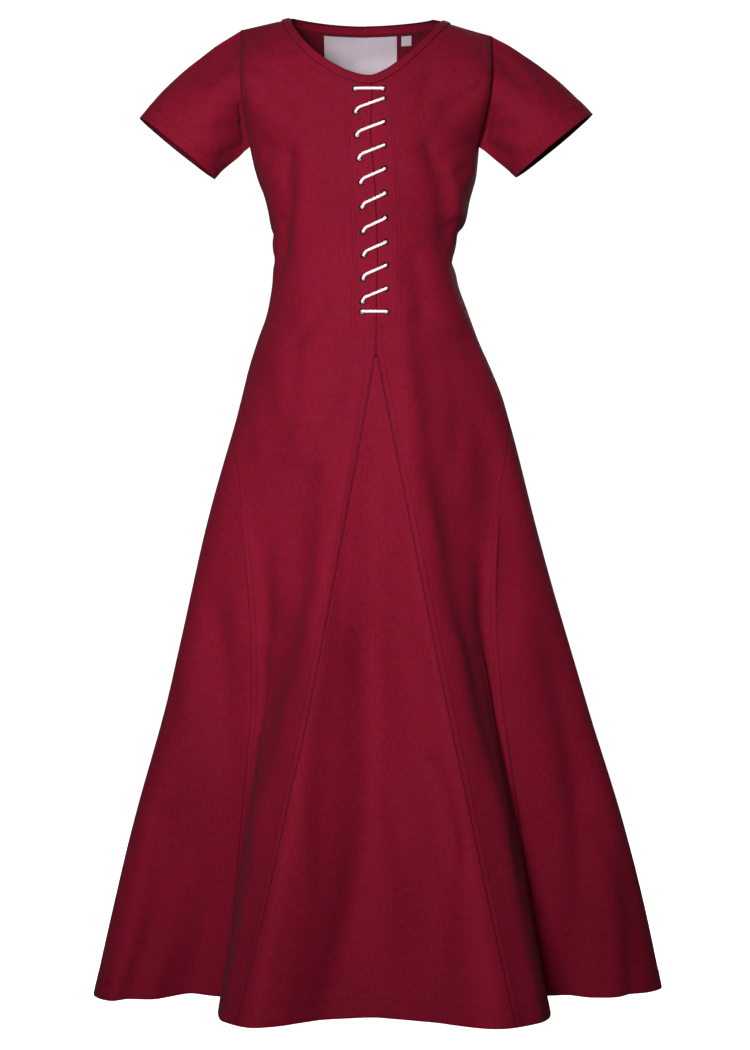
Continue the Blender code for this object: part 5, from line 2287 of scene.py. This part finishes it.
@dataclass(frozen=True)
class SoftLight:
    """One soft square light, in metres, watts and degrees."""

    name: str
    place: tuple[float, float, float]
    aim: tuple[float, float, float]
    size: float
    power: float
    spread: float = 180

    def hang(self) -> None:
        """Hang the light and turn it to what it lights."""
        lamp = bpy.data.lights.new(self.name, "AREA")
        lamp.spread = math.radians(self.spread)
        lamp.size = self.size
        lamp.energy = self.power
        piece = link_object(self.name, lamp)
        piece.location = self.place
        way = Vector(self.aim) - Vector(self.place)
        piece.rotation_euler = way.to_track_quat("-Z", "Y").to_euler()


@dataclass
class Studio:
    """A pale round sweep of floor and wall, soft lights and the camera."""

    camera_distance: float = 4.0
    axis_x: float = 11.8 * MM
    axis_z: float = -747 * MM
    focal_mm: float = 92.7
    picture_height_mm: float = 36.0
    floor_height: float = -1.62
    floor_radius: float = 8.0
    curve_radius: float = 1.5
    wall_height: float = 6.0
    sweep_columns: int = 64
    sweep_rows: int = 24
    room_glow: float = 0.075
    lights: tuple[SoftLight, ...] = (
        SoftLight("key", (-0.50, -3.3, -0.30), (-0.11, 0, -0.42), 0.8, 20.5, 66),
        SoftLight("fill", (1.7, -3.9, -0.3), (0, 0, -0.5), 1.8, 3),
        SoftLight("top", (0, -0.9, 2.3), (0, 0, -0.3), 1.4, 5),
        SoftLight("rear", (0.6, 3.2, 0.8), (0, 0, -0.7), 2.4, 85),
    )

    def floor(self) -> None:
        """Build the sweep: a round floor that curves up into a wall all round."""
        mesh = bmesh.new()
        bmesh.ops.create_grid(
            mesh, x_segments=self.sweep_columns, y_segments=self.sweep_rows, size=0.5
        )
        for vertex in mesh.verts:
            turn = (vertex.co.x + 0.5) * 2 * math.pi
            # Four parts: two of flat floor, one of curve and one of wall
            part = (vertex.co.y + 0.5) * 4
            bend = min(max(part - 2, 0), 1) * math.pi / 2
            reach = self.floor_radius * min(part / 2, 1) + self.curve_radius * math.sin(bend)
            rise = self.curve_radius * (1 - math.cos(bend)) + self.wall_height * max(part - 3, 0)
            vertex.co = (reach * math.cos(turn), reach * math.sin(turn), rise + self.floor_height)
        bmesh.ops.remove_doubles(mesh, verts=mesh.verts, dist=1 * MM)
        face_outward(mesh)
        data = finished_mesh("studio_sweep", mesh)
        data.shade_smooth()
        data.materials.append(PaperFinish().material())
        sweep = link_object("studio_sweep", data)
        sweep.visible_diffuse = False
        sweep.visible_glossy = False

    def build(self) -> None:
        """Set the whole studio."""
        self.floor()
        for light in self.lights:
            light.hang()
        world = bpy.data.worlds.new("pale_room")
        world.use_nodes = True
        world.node_tree.nodes["Background"].inputs["Color"].default_value = (1, 1, 1, 1)
        world.node_tree.nodes["Background"].inputs["Strength"].default_value = self.room_glow
        bpy.context.scene.world = world
        bpy.context.scene.view_settings.view_transform = "Standard"
        data = bpy.data.cameras.new("camera")
        data.sensor_fit = "VERTICAL"
        data.sensor_height = self.picture_height_mm
        data.lens = self.focal_mm
        camera = link_object("camera", data)
        camera.location = (self.axis_x, -self.camera_distance, self.axis_z)
        camera.rotation_euler = (math.pi / 2, 0, 0)
        bpy.context.scene.camera = camera


def main() -> None:
    """Build the dress and its studio in order."""
    logging.basicConfig(level=logging.INFO, format="%(relativeCreated)d %(message)s")
    Studio().build()
    form = WornForm()
    eyelets = Eyelets(form)
    dress = Dress(form)
    dress.build(eyelets)
    sleeves = [
        Sleeve(form, Side.LEFT, (-281, 0, -190), (-78, 0, 62.5), 71, 55, 10),
        Sleeve(form, Side.RIGHT, (277, 2, -186), (77, 0, 63), 73.5, 56, 9),
    ]
    for sleeve in sleeves:
        sleeve.build()
    band = NeckBand(form)
    band.build()
    Patch(form, "neck_label", "label", -65 * MM, 45 * MM, -12.5 * MM, -74 * MM).build()
    Patch(form, "size_label", "size_tab", 52 * MM, 67 * MM, -13 * MM, -26 * MM).build()
    eyelets.build()
    Lace(form, eyelets).build()
    Stitching(dress, sleeves, band).build()


if __name__ == "__main__":
    main()
